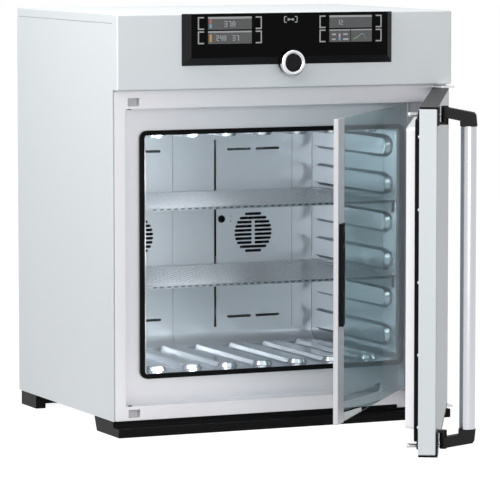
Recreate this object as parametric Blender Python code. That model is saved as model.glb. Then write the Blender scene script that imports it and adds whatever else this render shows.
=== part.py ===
"""Refrigerated bench incubator with a solid outer door and an inner glass door.

Frame: +X to the right seen from the front, +Y to the back, +Z up, metres.
The floor is z = 0 and the front of the stainless door frame is y = 0, so the
origin is on the underside of the front base rail. Both doors stand open.
"""
import math

import bmesh
import bpy
from mathutils import Matrix, Vector

# Fits and the housing
FIT = 0.0003                 # gap kept between pieces that touch
SHEET = 0.0012               # sheet metal thickness
OVERLAP = 0.001              # how far shapes of one piece run into each other
THROUGH = 0.005              # how far a cutting shape runs past the wall it cuts
HOUSING_WIDTH = 0.745
HOUSING_DEPTH = 0.537        # from the door frame to the rear panel
HOUSING_TOP = 0.8457
COVER_HEIGHT = 0.018
COVER_RADIUS = 0.002
PANEL_FOLD = 0.003           # folded edge round each side panel
BASE_HEIGHT = 0.0295         # base rail and rear feet
FASCIA_HEIGHT = 0.1523
FASCIA_DEPTH = 0.0252
FASCIA_WALL = 0.0015
FASCIA_RADIUS = 0.004

# Door frame and chamber
FRAME_RETURN = 0.012         # frame edge folded back inside the side panels
FRAME_RADIUS = 0.002
FRAME_SIDE = 0.0275          # housing side to recess
FRAME_SILL = 0.029           # underside of the housing to recess
FRAME_HEADER = 0.0359        # recess to the frame's top edge
RECESS_DEPTH = 0.050
CHAMBER_SIDE = 0.0925        # housing side to chamber wall
CHAMBER_SILL = 0.0575        # recess to chamber floor
CHAMBER_HEADER = 0.0566      # chamber ceiling to recess
CHAMBER_REAR = 0.082         # front face of the back panels to the rear panel
PLENUM_DEPTH = 0.0395        # air space behind the back panels
OPENING_RADIUS = 0.010
INSULATION_SIDE = 0.029      # housing side to insulation
INSULATION_BOTTOM = 0.0230   # underside of the housing to insulation
INSULATION_TOP = 0.0290      # insulation to the frame's top edge
INSULATION_FRONT = 0.001     # behind the liner's front edge
SEAL_WIDTH = 0.0096
SEAL_DEPTH = 0.0075
SEAL_OFFSET = 0.0052         # seal's inner edge outside the chamber wall
SEAL_RADIUS = 0.015

# Embossed ribs
RIB_PITCH = 0.0791
RIB_BASE = 0.049
RIB_CROWN = 0.029
RIB_HEIGHT = 0.009
RIB_FRONT = 0.078
RIB_END_WALL = 0.017         # wall ribs end in front of the back panels
RIB_END_FLOOR = 0.031
WALL_RIB_RAISE = 0.0048      # middle of the wall ribs above the chamber's middle

# Back panels, fans and cooling
COVE_RADIUS = 0.025
COVE_EDGE = 0.002            # flat edge in front of the coves
STRIP_WIDTH = 0.099
SEAM = 0.0008                # joint between the two back panels
AIR_GAP_WIDTH = 0.0036
AIR_GAP_MARGIN = 0.0395      # ends of the air gap to floor and ceiling
FAN_BESIDE_STRIP = 0.090
FAN_BELOW_MIDDLE = 0.002     # fan axes below the chamber's middle
GRILLE_RADIUS = 0.0446
GRILLE_PITCH = 0.0089
GRILLE_ROWS = 10
GRILLE_WHOLE_ROWS = 2        # rows without a web, at the top and at the bottom
GRILLE_SLOT = 0.0052
GRILLE_WEB = 0.006
AIR_SLOT_LENGTH = 0.0565
AIR_SLOT_GAP = 0.011
AIR_SLOT_HEIGHT = 0.0056
AIR_SLOT_MARGIN = 0.0605     # air slots to floor and ceiling, measured from the fan axes
FAN_RADIUS = 0.0410
FAN_HUB = 0.0160
FAN_NOSE = 0.0128
FAN_NOSE_LENGTH = 0.002
FAN_BLADES = 7
BLADE_THICKNESS = 0.0012
BLADE_CHORD = 0.017
BLADE_PITCH = math.radians(52)
BLADE_ROOT = 0.0136          # blades start inside the hub
FAN_WIDTH = 0.014
FAN_SHAFT = 0.0020
FAN_BEHIND_PANEL = 0.0048
FAN_RUNNING_GAP = 0.0015     # fan wheel to motor, and blade tips to frame
SHAFT_CLEARANCE = 0.0004
FAN_MOTOR_RADIUS = 0.0165
SHAFT_SEAT = 0.006
SINK_BESIDE_FAN = 0.0525
SINK_HEIGHT = 0.104
SINK_CLEARANCE = 0.0015
SINK_BASE = 0.0047
SINK_FINS = 31
SINK_FIN = 0.0016
COLD_FIN_HEIGHT = 0.012
HOT_FIN_HEIGHT = 0.040
MOTOR_CLEARANCE = 0.002      # between the cold sink's fins and a motor
MODULE_SIZE = 0.040
MODULE_HEIGHT = 0.004
MODULE_CLEARANCE = 0.002
SENSOR_RADIUS = 0.008
SENSOR_WALL = 0.0018
SENSOR_DEPTH = 0.014
SENSOR_CUP = 0.011
SENSOR_RAISE = 0.0012        # cup's rim in front of the back panel
SENSOR_BESIDE_STRIP = 0.015
SENSOR_ABOVE_FAN = 0.031
UNIT_BESIDE_SINK = 0.033
UNIT_HEIGHT = 0.262
UNIT_DEPTH = 0.055
UNIT_RADIUS = 0.003
REAR_FAN_FRAME = 0.092
REAR_FAN_DEPTH = 0.024
REAR_FAN_WALL = 0.004
OUTLET_SPOKE = 6.0           # degrees from a quarter's start to an outlet
OUTLET_ANGLE = 78.0
LOUVRE_LENGTH = 0.074
LOUVRE_MARGIN = 0.012        # side louvres to the cover's front and back
LOUVRE_HEIGHT = 0.006
LOUVRE_PITCH = 0.014
LOUVRE_ROWS = 5

# Power supply and mains inlet
TRAY_RAISE = 0.0035          # electronics tray above the door frame's top edge
SUPPLY_X = 0.150
SUPPLY_WIDTH = 0.180
SUPPLY_LENGTH = 0.120
SUPPLY_HEIGHT = 0.050
SUPPLY_REAR = 0.117          # power supply to the rear panel
SUPPLY_EDGE = 0.0015
INLET_SIDE = 0.0925          # middle of the inlet to the housing side
INLET_BELOW_TOP = 0.0957
INLET_WIDTH = 0.048
INLET_HEIGHT = 0.028
INLET_DEPTH = 0.022
INLET_RAISE = 0.003
INLET_EDGE = 0.001
SOCKET_WIDTH = 0.024
SOCKET_HEIGHT = 0.017
SOCKET_DEPTH = 0.014
SOCKET_RADIUS = 0.003
SOCKET_GROOVE_SIDE = 0.004   # groove round the socket's core
SOCKET_GROOVE = 0.0035
CORE_RADIUS = 0.001

# Control panel and dial
PANEL_WIDTH = 0.468
PANEL_RAISE = 0.0476         # panel above the fascia's lower edge
PANEL_SLOPE = 0.0155         # width of the sloping border
PANEL_RISE = 0.0122
GLASS_SHEET = 0.0012
GLASS_INSET = 0.0008         # glass inside the sloping border
SCREEN_OFFSET = 0.134
SCREEN_WIDTH = 0.0964
SCREEN_BELOW_TOP = 0.0057
SCREEN_HEIGHT = 0.057
CABLE_CUT_WIDTH = 0.064      # cut-outs for the screens' cables
CABLE_CUT_MARGIN = 0.010
CARRIER_DEPTH = 0.004
BOARD_WIDTH = 0.400
BOARD_THICKNESS = 0.0016
BOARD_REAR = -0.0063
BOARD_BELOW_DIAL = 0.020
BOARD_TOP_GAP = 0.002
ENCODER_FLOOR = 0.0012
DIAL_RAISE = 0.004           # dial's axis above the panel's lower edge
DIAL_RADIUS = 0.026
DIAL_FACE_RADIUS = 0.0178
DIAL_DEPTH = 0.0105
DIAL_EDGE = 0.002
DIAL_INNER_EDGE = 0.001
DIAL_INNER_DEPTH = 0.0014
CAP_EDGE = 0.0006
DIAL_TRAVEL = 0.002
DIAL_STOP_GAP = 0.0005       # left between dial and collar when pushed in
COLLAR_RADIUS = 0.022
COLLAR_DEPTH = 0.0165
COLLAR_EDGE = 0.001
DIAL_SHAFT = 0.004
SHAFT_HOLE_CLEARANCE = 0.002
SHAFT_IN_CAP = 0.005
SHAFT_END_GAP = 0.0006
ENCODER_SIZE = 0.024

# Outer door
DOOR_OPEN = math.radians(61.0)
DOOR_THICKNESS = 0.0335
DOOR_STANDOFF = 0.0092       # door's inner face in front of the frame when shut
DOOR_BELOW_FRAME = 0.0024
DOOR_UNDER_FASCIA = 0.0062   # door's top edge below the frame's
DOOR_CAP = 0.003
DOOR_RADIUS = 0.003
DOOR_HINGE_SIDE = 0.0215     # hinge axis to the housing side
DOOR_HINGE_Y = -0.033
HINGE_PIN = 0.004
HINGE_PLATE = 0.004
HINGE_STRIP_LENGTH = 0.1105
HINGE_STRIP_STEP = 0.0335    # full strip to the housing side, clear of the door's corner
HINGE_PIN_LENGTH = 0.0125
PLATE_WIDTH = 0.0315
PLATE_NOSE = 0.009           # plate in front of its pin
PLATE_RADIUS = 0.004
STRIP_HEIGHT_TOP = 0.0066
STRIP_HEIGHT_BOTTOM = 0.0126
HINGE_STRIP = 0.002
PANEL_SHEET = 0.001          # inner door sheet
PANEL_RADIUS = 0.001
PLUG_SIDE = 0.016            # plug inside the recess, each side
PLUG_MARGIN_BOTTOM = 0.0135
PLUG_MARGIN_TOP = 0.0086
PLUG_DEPTH = 0.026
PLUG_RADIUS = 0.006
PLUG_TAPER = 0.004
WOOL_SIDE = 0.0045           # door insulation inside the shell
WOOL_END = 0.018             # door insulation short of the latch rods
DOOR_SEAL_WIDTH = 0.0105
DOOR_SEAL_SIDE = 0.0205      # door seal to the housing side
DOOR_SEAL_BELOW = 0.006      # door seal outside the recess
DOOR_SEAL_ABOVE = 0.0049
DOOR_SEAL_RADIUS = 0.012
DOOR_SEAL_INNER_RADIUS = 0.004

# Latch lever
HANDLE_SIDE = 0.0415         # lever axis to the housing side with the door shut
HANDLE_STANDOFF = 0.0126     # lever axis in front of the door's face
HANDLE_REACH = 0.0575         # tube axis in front of the door's face
TUBE_RADIUS = 0.015
TUBE_WALL_ON_ARM = 0.0012    # arm's foot beyond the tube
HUB_RADIUS = 0.0070
HUB_EDGE = 0.0006
LEVER_PIN = 0.0035
PIN_CLEARANCE = 0.0003
PIN_END_GAP = 0.0005
ARM_WIDTH = 0.026
ARM_TOP_INSET = 0.002        # arm's top edge below the hub's end
ARM_NOSE = 0.0055            # slope at the arm's outer corner
ARM_CHAMFER = 0.002
ARM_ROOT_BELOW = 0.005       # arm's root below the latch rod
ARM_NOSE_ABOVE = 0.0045
ARM_CHAMFER_BELOW = 0.0005
ARM_HEEL_BELOW = 0.0106
LOWER_ARM_RAISE = 0.012      # lower arm nearer to the door's middle than the upper one
LATCH_INSET = 0.0163         # latch rods below the door's top edge
ROD_RADIUS = 0.00375
ROD_HEAD = 0.0044
ROD_HEAD_LENGTH = 0.005
ROD_EDGE = 0.001
ROD_REACH = 0.0138           # rod tip behind the frame's front face when shut
ROD_SLOT_SIDE = 0.0012
ROD_SLOT_HEIGHT = 0.011
BRACKET_PLATE = 0.003
BRACKET_WIDTH = 0.055
BRACKET_EAR = 0.005
BRACKET_DROP = 0.0185        # bracket's inner edge below the latch rod
HUB_ABOVE = 0.0170           # hub's outer end above the latch rod
TUBE_DROP = 0.0210           # tube's end below the latch rod
LEVER_SWING = math.radians(10.0)
KEEPER_OFFSET = 0.004        # slot's middle beside the lever axis
KEEPER_SLOT_WIDTH = 0.025
KEEPER_SLOT_HEIGHT = 0.016

# Inner glass door
GLASS_OPEN = math.radians(50.4)
GLASS_HINGE_SIDE = 0.045     # hinge axis to the recess side
GLASS_HINGE_Y = 0.036
PANE_THICKNESS = 0.005
PANE_BEFORE_HINGE = 0.0015   # pane's front face in front of its hinge axis
PANE_MARGIN = 0.0035         # pane's edge inside the recess, top and bottom
PANE_SIDE = 0.005            # pane beyond its hinge axis
PROFILE_SIDE = 0.045         # profile's edge to the recess side
PROFILE_WIDTH = 0.048
PROFILE_WALL = 0.0019
PROFILE_EDGE = 0.0004
GRIP_OFFSET = 0.005
GRIP_WIDTH = 0.037
GRIP_HEIGHT = 0.198
GRIP_BELOW_MIDDLE = 0.0056
GRIP_DEPTH = 0.008
GRIP_RIDGE = 0.014           # width of the grip's raised ridge
GRIP_STEP = 0.004
GRIP_CHAMFER = 0.002
GRIP_SIDE_SLOPE = 0.003
CLIP_HEIGHT = 0.032
CLIP_WIDTH = 0.0212
CLIP_DEPTH = 0.0135
CLIP_RADIUS = 0.0035
CLIP_BESIDE_PANE = 0.005
CLIP_ROOF = 0.0023           # clip above the pane's edge
CLIP_OFFSET = 0.0002         # clip's middle in front of the pane's
GLASS_PIN = 0.003
PIN_IN_WALL = 0.004          # depth of the pin holes in the recess walls

# Shelves and base
SHELF_GAP = 0.003            # shelf to chamber wall, each side
SHELF_FRONT = 0.065
SHELF_REAR_GAP = 0.005       # shelf to the back panels
SHELF_SHEET = 0.0015
SHELF_RISE = 0.0476          # shelf top above the middle of the rib that carries it
SHELF_LIP = 0.006
SHELF_HOLE = 0.0095
SHELF_PITCH = 0.0154
SHELF_BORDER = 0.012
SHELF_ROWS = 2
RAIL_LIP = 0.029
RAIL_LIP_HEIGHT = 0.018
RAIL_WALL = 0.001            # rail's face below the door frame
RAIL_COVE = 0.0045
RAIL_REAR = 0.0915
RAIL_SLOPE = 0.013
RAIL_EDGE = 0.0012
FOOT_WIDTH = 0.022
FOOT_INSET = 0.0025
FOOT_REAR_INSET = 0.007
FOOT_LENGTH = 0.087
BEAM_LENGTH = 0.046
BEAM_HEIGHT = 0.0255

# Worked out from the above
HALF = HOUSING_WIDTH / 2
BOTTOM = BASE_HEIGHT + FIT
INSIDE = HALF - PANEL_FOLD - FIT               # half width between the side panels' folds
FRAME_TOP = HOUSING_TOP - FASCIA_HEIGHT - 3 * FIT
FRAME_BOTTOM = BOTTOM + FIT
COVER_BOTTOM = HOUSING_TOP - COVER_HEIGHT
RECESS_HALF = HALF - FRAME_SIDE
RECESS_BOTTOM = BASE_HEIGHT + FRAME_SILL
RECESS_TOP = FRAME_TOP - FRAME_HEADER
RECESS_MIDDLE = (RECESS_BOTTOM + RECESS_TOP) / 2
CHAMBER_HALF = HALF - CHAMBER_SIDE
CHAMBER_FLOOR = RECESS_BOTTOM + CHAMBER_SILL
CHAMBER_CEILING = RECESS_TOP - CHAMBER_HEADER
CHAMBER_HEIGHT = CHAMBER_CEILING - CHAMBER_FLOOR
CHAMBER_MIDDLE = (CHAMBER_FLOOR + CHAMBER_CEILING) / 2
CHAMBER_BACK = HOUSING_DEPTH - CHAMBER_REAR
LINER_FRONT = RECESS_DEPTH + SHEET + FIT
PLENUM_BACK = CHAMBER_BACK + PLENUM_DEPTH
REAR_INNER = HOUSING_DEPTH - SHEET - FIT
RIB_COUNT_WALL = int((CHAMBER_HEIGHT - RIB_BASE) / RIB_PITCH) + 1
RIB_COUNT_FLOOR = int((2 * CHAMBER_HALF - RIB_BASE) / RIB_PITCH) + 1
WALL_RIBS = [CHAMBER_MIDDLE + WALL_RIB_RAISE + (i - (RIB_COUNT_WALL - 1) / 2) * RIB_PITCH
             for i in range(RIB_COUNT_WALL)]
FLOOR_RIBS = [(i - (RIB_COUNT_FLOOR - 1) / 2) * RIB_PITCH for i in range(RIB_COUNT_FLOOR)]
FAN_X = STRIP_WIDTH / 2 + FAN_BESIDE_STRIP
FAN_Z = CHAMBER_MIDDLE - FAN_BELOW_MIDDLE
AIR_SLOT_RISE = CHAMBER_HEIGHT / 2 - AIR_SLOT_MARGIN
SENSOR_X = STRIP_WIDTH / 2 + SENSOR_BESIDE_STRIP
SENSOR_Z = FAN_Z + SENSOR_ABOVE_FAN
SINK_WIDTH = 2 * (FAN_X + SINK_BESIDE_FAN)
UNIT_WIDTH = SINK_WIDTH + 2 * UNIT_BESIDE_SINK
INLET_X = INLET_SIDE - HALF
INLET_Z = HOUSING_TOP - INLET_BELOW_TOP
FASCIA_FRONT = -FASCIA_DEPTH - FIT
FASCIA_BOTTOM = HOUSING_TOP - FASCIA_HEIGHT
PANEL_FRONT = FASCIA_FRONT - PANEL_RISE
PANEL_BOTTOM = FASCIA_BOTTOM + PANEL_RAISE
SCREEN_BOTTOM = HOUSING_TOP - SCREEN_BELOW_TOP - SCREEN_HEIGHT
DIAL_Z = PANEL_BOTTOM + DIAL_RAISE
DOOR_FRONT = -DOOR_STANDOFF - DOOR_THICKNESS
DOOR_BOTTOM = FRAME_BOTTOM - DOOR_BELOW_FRAME
DOOR_TOP = FRAME_TOP - DOOR_UNDER_FASCIA
DOOR_MIDDLE = (DOOR_BOTTOM + DOOR_TOP) / 2
DOOR_HINGE_X = HALF - DOOR_HINGE_SIDE
PLUG_HALF = RECESS_HALF - PLUG_SIDE
PLUG_BOTTOM = RECESS_BOTTOM + PLUG_MARGIN_BOTTOM
PLUG_TOP = RECESS_TOP - PLUG_MARGIN_TOP
LATCH_TOP = DOOR_TOP - LATCH_INSET
LATCH_HEIGHTS = (2 * DOOR_MIDDLE - LATCH_TOP, LATCH_TOP)
HANDLE_X = HANDLE_SIDE - HALF
HANDLE_Y = DOOR_FRONT - HANDLE_STANDOFF
KEEPER_X = HANDLE_X + KEEPER_OFFSET
GLASS_HINGE_X = RECESS_HALF - GLASS_HINGE_SIDE
PROFILE_EDGE_X = PROFILE_SIDE - RECESS_HALF
PANE_FRONT = GLASS_HINGE_Y - PANE_BEFORE_HINGE
PANE_REAR = PANE_FRONT + PANE_THICKNESS
PANE_TOP = RECESS_TOP - PANE_MARGIN
PANE_BOTTOM = RECESS_BOTTOM + PANE_MARGIN
SHELF_REAR = CHAMBER_BACK - SHELF_REAR_GAP
FOOT_REAR = HOUSING_DEPTH - FOOT_REAR_INSET


# Materials
def material(name, colour, roughness, metallic=0.0, alpha=1.0):
    """Return a Principled material with a linear base colour."""
    mat = bpy.data.materials.new(name)
    mat.use_nodes = True
    shader = mat.node_tree.nodes["Principled BSDF"]
    shader.inputs["Base Color"].default_value = (*colour, 1.0)
    shader.inputs["Roughness"].default_value = roughness
    shader.inputs["Metallic"].default_value = metallic
    shader.inputs["Alpha"].default_value = alpha
    return mat


def make_materials():
    """Make the finishes that the sub-parts share, by name."""
    return {
        "coat": material("structured_grey_coat", (0.72, 0.76, 0.78), 0.45),
        "steel": material("stainless_sheet", (0.62, 0.63, 0.65), 0.32, 1.0),
        "chamber": material("chamber_stainless", (0.55, 0.58, 0.62), 0.28, 1.0),
        "black": material("black_plastic", (0.012, 0.012, 0.013), 0.42),
        "rubber": material("black_rubber", (0.010, 0.010, 0.010), 0.75),
        "tube": material("satin_aluminium", (0.78, 0.79, 0.80), 0.30, 1.0),
        "chrome": material("polished_ring", (0.85, 0.86, 0.88), 0.10, 1.0),
        "pane": material("tempered_glass", (0.55, 0.68, 0.68), 0.03, 0.0, 0.35),
        "gloss": material("gloss_panel_glass", (0.006, 0.006, 0.007), 0.08),
        "screen": material("dim_screen", (0.06, 0.065, 0.07), 0.15),
        "wool": material("mineral_wool", (0.62, 0.55, 0.32), 0.95),
        "sink": material("extruded_aluminium", (0.70, 0.71, 0.72), 0.45, 1.0),
        "ceramic": material("white_ceramic", (0.80, 0.80, 0.78), 0.55),
        "board": material("green_laminate", (0.02, 0.16, 0.06), 0.50),
        "edge": material("light_door_profile", (0.80, 0.80, 0.81), 0.35),
    }


# Outlines
def rectangle(x0, x1, z0, z1):
    """Corners of a rectangle, anticlockwise."""
    return [(x0, z0), (x1, z0), (x1, z1), (x0, z1)]


def rounded(x0, x1, z0, z1, radius, steps=3):
    """Outline of a rectangle with round corners, anticlockwise."""
    points = []
    corners = ((x1 - radius, z0 + radius, -90), (x1 - radius, z1 - radius, 0),
               (x0 + radius, z1 - radius, 90), (x0 + radius, z0 + radius, 180))
    for cx, cz, start in corners:
        for i in range(steps + 1):
            angle = math.radians(start + 90 * i / steps)
            points.append((cx + radius * math.cos(angle), cz + radius * math.sin(angle)))
    return points


def stadium(u0, u1, v, width, steps=6):
    """Outline of a slot with round ends that runs from u0 to u1 at height v."""
    r = width / 2
    points = []
    for centre, start in ((u1 - r, -90), (u0 + r, 90)):
        for i in range(steps + 1):
            angle = math.radians(start + 180 * i / steps)
            points.append((centre + r * math.cos(angle), v + r * math.sin(angle)))
    return points


def circle(u, v, radius, steps=24):
    """Outline of a circle."""
    return [(u + radius * math.cos(2 * math.pi * i / steps), v + radius * math.sin(2 * math.pi * i / steps))
            for i in range(steps)]


def arc(u, v, radius, start, end, steps):
    """Points along an arc, angles in degrees."""
    return [(u + radius * math.cos(math.radians(start + (end - start) * i / steps)),
             v + radius * math.sin(math.radians(start + (end - start) * i / steps))) for i in range(steps + 1)]


# Solids
def place(axis, u, v, w):
    """Point with in-plane coordinates u, v and distance w along an axis."""
    return {"X": (w, u, v), "Y": (u, w, v), "Z": (u, v, w)}[axis]


def loft(bm, loops, closed=False, caps=True):
    """Skin a list of 3D loops of equal length, with end caps or closed on itself."""
    rings = [[bm.verts.new(p) for p in loop] for loop in loops]
    pairs = list(zip(rings, rings[1:] + rings[:1])) if closed else list(zip(rings, rings[1:]))
    for a, b in pairs:
        n = len(a)
        for i in range(n):
            bm.faces.new((a[i], a[(i + 1) % n], b[(i + 1) % n], b[i]))
    if caps and not closed:
        bm.faces.new(rings[0])
        bm.faces.new(rings[-1])


def prism(bm, outline, axis, start, end):
    """Closed solid with one outline from start to end along an axis."""
    loft(bm, [[place(axis, u, v, w) for u, v in outline] for w in (start, end)])


def ring(bm, outer, inner, axis, start, end):
    """Closed frame between an outer and an inner outline with as many points."""
    at = lambda outline, w: [place(axis, u, v, w) for u, v in outline]
    loft(bm, [at(outer, start), at(outer, end), at(inner, end), at(inner, start)], closed=True)


def box(bm, x0, x1, y0, y1, z0, z1):
    """Closed box between two corners."""
    prism(bm, rectangle(x0, x1, y0, y1), "Z", z0, z1)


def turned(bm, profile, axis, u, v, steps=24):
    """Solid turned about an axis through u, v; profile is (radius, distance) pairs."""
    loft(bm, [[place(axis, cu, cv, w) for cu, cv in circle(u, v, radius, steps)] for radius, w in profile])


def mesh_object(name, bm, mat, pivot=None):
    """Turn a bmesh into a named object, its mesh measured from its pivot."""
    if pivot:
        bmesh.ops.translate(bm, verts=bm.verts, vec=-Vector(pivot["shut"]))
    mesh = bpy.data.meshes.new(name)
    bm.to_mesh(mesh)
    bm.free()
    obj = bpy.data.objects.new(name, mesh)
    bpy.context.collection.objects.link(obj)
    if mat:
        mesh.materials.append(mat)
    if pivot:
        obj.parent = pivot
    return obj


def finish(name, bm, mat, pivot=None, bevel=0.0, segments=2, smooth=False):
    """Turn closed shapes into a named object, with its edges rounded if wanted."""
    bmesh.ops.recalc_face_normals(bm, faces=bm.faces)
    obj = mesh_object(name, bm, mat, pivot)
    if bevel:
        add_bevel(obj, bevel, segments)
    if smooth:
        obj.data.shade_smooth()
        obj.data.set_sharp_from_angle(angle=math.radians(35))
    return obj


def formed(name, bm, mat, pivot=None, wall=SHEET, bevel=0.0, segments=2):
    """Give an open skin its sheet thickness, away from its face normals."""
    obj = mesh_object(name, bm, mat, pivot)
    if bevel:
        add_bevel(obj, bevel, segments)
    mod = obj.modifiers.new("wall", "SOLIDIFY")
    mod.thickness = wall
    mod.offset = -1.0
    mod.use_even_offset = True
    return obj


def add_bevel(obj, width, segments=2, angle=50):
    """Round the sharp edges of an object."""
    mod = obj.modifiers.new("edges", "BEVEL")
    mod.width = width
    mod.segments = segments
    mod.limit_method = "ANGLE"
    mod.angle_limit = math.radians(angle)


def tray(name, mat, lo, hi, open_side, pivot=None, wall=SHEET, bevel=0.0, segments=2):
    """Box folded from sheet and open on one side, named as +X, -Y and so on."""
    bm = bmesh.new()
    box(bm, lo[0], hi[0], lo[1], hi[1], lo[2], hi[2])
    bmesh.ops.recalc_face_normals(bm, faces=bm.faces)
    sign = 1 if open_side[0] == "+" else -1
    index = "XYZ".index(open_side[1])
    gone = [f for f in bm.faces if f.normal[index] * sign > 0.9]
    bmesh.ops.delete(bm, geom=gone, context="FACES")
    return formed(name, bm, mat, pivot, wall, bevel, segments)


def combine(obj, bm, label, operation="DIFFERENCE", pivot=None):
    """Cut an object with a closed tool shape, or join the shape to it."""
    tool = finish(obj.name + "_" + label, bm, None, pivot)
    tool.hide_render = True
    tool.display_type = "WIRE"
    mod = obj.modifiers.new(label, "BOOLEAN")
    mod.object = tool
    mod.operation = operation
    mod.solver = "EXACT"


def pivot_at(name, shut, turn=0.0, parent=None):
    """Empty on a joint axis; shut is where the axis is with everything shut."""
    empty = bpy.data.objects.new(name, None)
    bpy.context.collection.objects.link(empty)
    empty["shut"] = shut
    empty.rotation_euler = (0.0, 0.0, turn)
    if parent:
        empty.parent = parent
        empty.location = Vector(shut) - Vector(parent["shut"])
    else:
        empty.location = shut
    return empty


# Housing
def make_side_panels(mats):
    """Left and right side sheets with a folded edge all round."""
    for side, name in ((-1, "side_panel_left"), (1, "side_panel_right")):
        outer, inner = sorted((side * HALF, side * (HALF - PANEL_FOLD)))
        tray(name, mats["coat"], (outer, 0.0, BOTTOM), (inner, HOUSING_DEPTH, COVER_BOTTOM - 2 * FIT),
             "+X" if side < 0 else "-X")


def make_top_cover(mats):
    """Top sheet that laps over the side panels."""
    tray("top_cover", mats["coat"], (-HALF, 0.0, COVER_BOTTOM), (HALF, HOUSING_DEPTH, HOUSING_TOP), "-Z",
         bevel=COVER_RADIUS)


def make_bottom_pan(mats):
    """Floor sheet of the housing."""
    bm = bmesh.new()
    box(bm, -INSIDE, INSIDE, FRAME_RETURN + FIT, REAR_INNER, FRAME_BOTTOM, FRAME_BOTTOM + SHEET)
    finish("bottom_pan", bm, mats["steel"])


def make_rear_panel(mats):
    """Rear sheet with windows for the heat sink and the mains inlet."""
    bm = bmesh.new()
    box(bm, -INSIDE, INSIDE, HOUSING_DEPTH - SHEET, HOUSING_DEPTH, FRAME_BOTTOM, COVER_BOTTOM - FIT)
    panel = finish("rear_panel", bm, mats["steel"])
    tool = bmesh.new()
    y0, y1 = HOUSING_DEPTH - SHEET - THROUGH, HOUSING_DEPTH + THROUGH
    half_w, half_h = INLET_WIDTH / 2 + FIT, INLET_HEIGHT / 2 + FIT
    sink_window(tool, y0, y1)
    box(tool, INLET_X - half_w, INLET_X + half_w, y0, y1, INLET_Z - half_h, INLET_Z + half_h)
    combine(panel, tool, "windows")


def make_front_frame(mats):
    """Stainless frame: rim, door recess and the wall round the chamber mouth."""
    x = INSIDE - 2 * FIT
    mouth = CHAMBER_HALF + SHEET + FIT
    outer = rounded(-x, x, FRAME_BOTTOM, FRAME_TOP, FRAME_RADIUS)
    recess = rounded(-RECESS_HALF, RECESS_HALF, RECESS_BOTTOM, RECESS_TOP, FRAME_RADIUS)
    opening = rounded(-mouth, mouth, CHAMBER_FLOOR - SHEET, CHAMBER_CEILING + SHEET, OPENING_RADIUS)
    steps = ((outer, FRAME_RETURN), (outer, 0.0), (recess, 0.0), (recess, RECESS_DEPTH), (opening, RECESS_DEPTH))
    bm = bmesh.new()
    loft(bm, [[place("Y", u, v, w) for u, v in outline] for outline, w in steps], caps=False)
    frame = formed("front_frame", bm, mats["steel"])
    tool = bmesh.new()
    half_w, half_h = KEEPER_SLOT_WIDTH / 2, KEEPER_SLOT_HEIGHT / 2
    for z in LATCH_HEIGHTS:
        box(tool, KEEPER_X - half_w, KEEPER_X + half_w, -THROUGH, SHEET + THROUGH, z - half_h, z + half_h)
    hole = circle(GLASS_HINGE_X, GLASS_HINGE_Y, GLASS_PIN + PIN_CLEARANCE, 16)
    for z in (RECESS_BOTTOM, RECESS_TOP):
        prism(tool, hole, "Z", z - PIN_IN_WALL, z + PIN_IN_WALL)
    combine(frame, tool, "slots")


def make_fascia(mats):
    """Control fascia above the door with cut-outs for the displays and the dial."""
    fascia = tray("fascia", mats["coat"], (-HALF, -FASCIA_DEPTH, FASCIA_BOTTOM), (HALF, -FIT, HOUSING_TOP), "+Y",
                  wall=FASCIA_WALL, bevel=FASCIA_RADIUS, segments=3)
    tool = bmesh.new()
    y0, y1 = -FASCIA_DEPTH - THROUGH, -FASCIA_DEPTH + THROUGH
    half = CABLE_CUT_WIDTH / 2
    for middle in (-SCREEN_OFFSET, SCREEN_OFFSET):
        box(tool, middle - half, middle + half, y0, y1, SCREEN_BOTTOM + CABLE_CUT_MARGIN,
            SCREEN_BOTTOM + SCREEN_HEIGHT - CABLE_CUT_MARGIN)
    prism(tool, circle(0.0, DIAL_Z, DIAL_SHAFT + SHAFT_HOLE_CLEARANCE, 16), "Y", y0, y1)
    combine(fascia, tool, "cut_outs")


def make_electronics_tray(mats):
    """Sheet between the insulation and the electronics."""
    z = FRAME_TOP + TRAY_RAISE
    bm = bmesh.new()
    box(bm, -INSIDE, INSIDE, FRAME_RETURN + FIT, REAR_INNER, z, z + SHEET)
    finish("electronics_tray", bm, mats["steel"])


def make_power_supply(mats):
    """Power supply on the electronics tray."""
    z = FRAME_TOP + TRAY_RAISE + SHEET + FIT
    rear = HOUSING_DEPTH - SUPPLY_REAR
    bm = bmesh.new()
    box(bm, SUPPLY_X - SUPPLY_WIDTH / 2, SUPPLY_X + SUPPLY_WIDTH / 2, rear - SUPPLY_LENGTH, rear, z, z + SUPPLY_HEIGHT)
    finish("power_supply", bm, mats["sink"], bevel=SUPPLY_EDGE, segments=1)


def make_mains_inlet(mats):
    """Appliance inlet in the rear panel with a socket round a core."""
    bm = bmesh.new()
    half_w, half_h = INLET_WIDTH / 2, INLET_HEIGHT / 2
    box(bm, INLET_X - half_w, INLET_X + half_w, HOUSING_DEPTH - INLET_DEPTH, HOUSING_DEPTH + INLET_RAISE,
        INLET_Z - half_h, INLET_Z + half_h)
    inlet = finish("mains_inlet", bm, mats["black"], bevel=INLET_EDGE, segments=1)
    tool = bmesh.new()
    half_w, half_h = SOCKET_WIDTH / 2, SOCKET_HEIGHT / 2
    outer = rounded(INLET_X - half_w, INLET_X + half_w, INLET_Z - half_h, INLET_Z + half_h, SOCKET_RADIUS)
    half_w, half_h = half_w - SOCKET_GROOVE_SIDE, half_h - SOCKET_GROOVE
    core = rounded(INLET_X - half_w, INLET_X + half_w, INLET_Z - half_h, INLET_Z + half_h, CORE_RADIUS)
    ring(tool, outer, core, "Y", HOUSING_DEPTH - SOCKET_DEPTH, HOUSING_DEPTH + INLET_RAISE + THROUGH)
    combine(inlet, tool, "recess")


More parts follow.
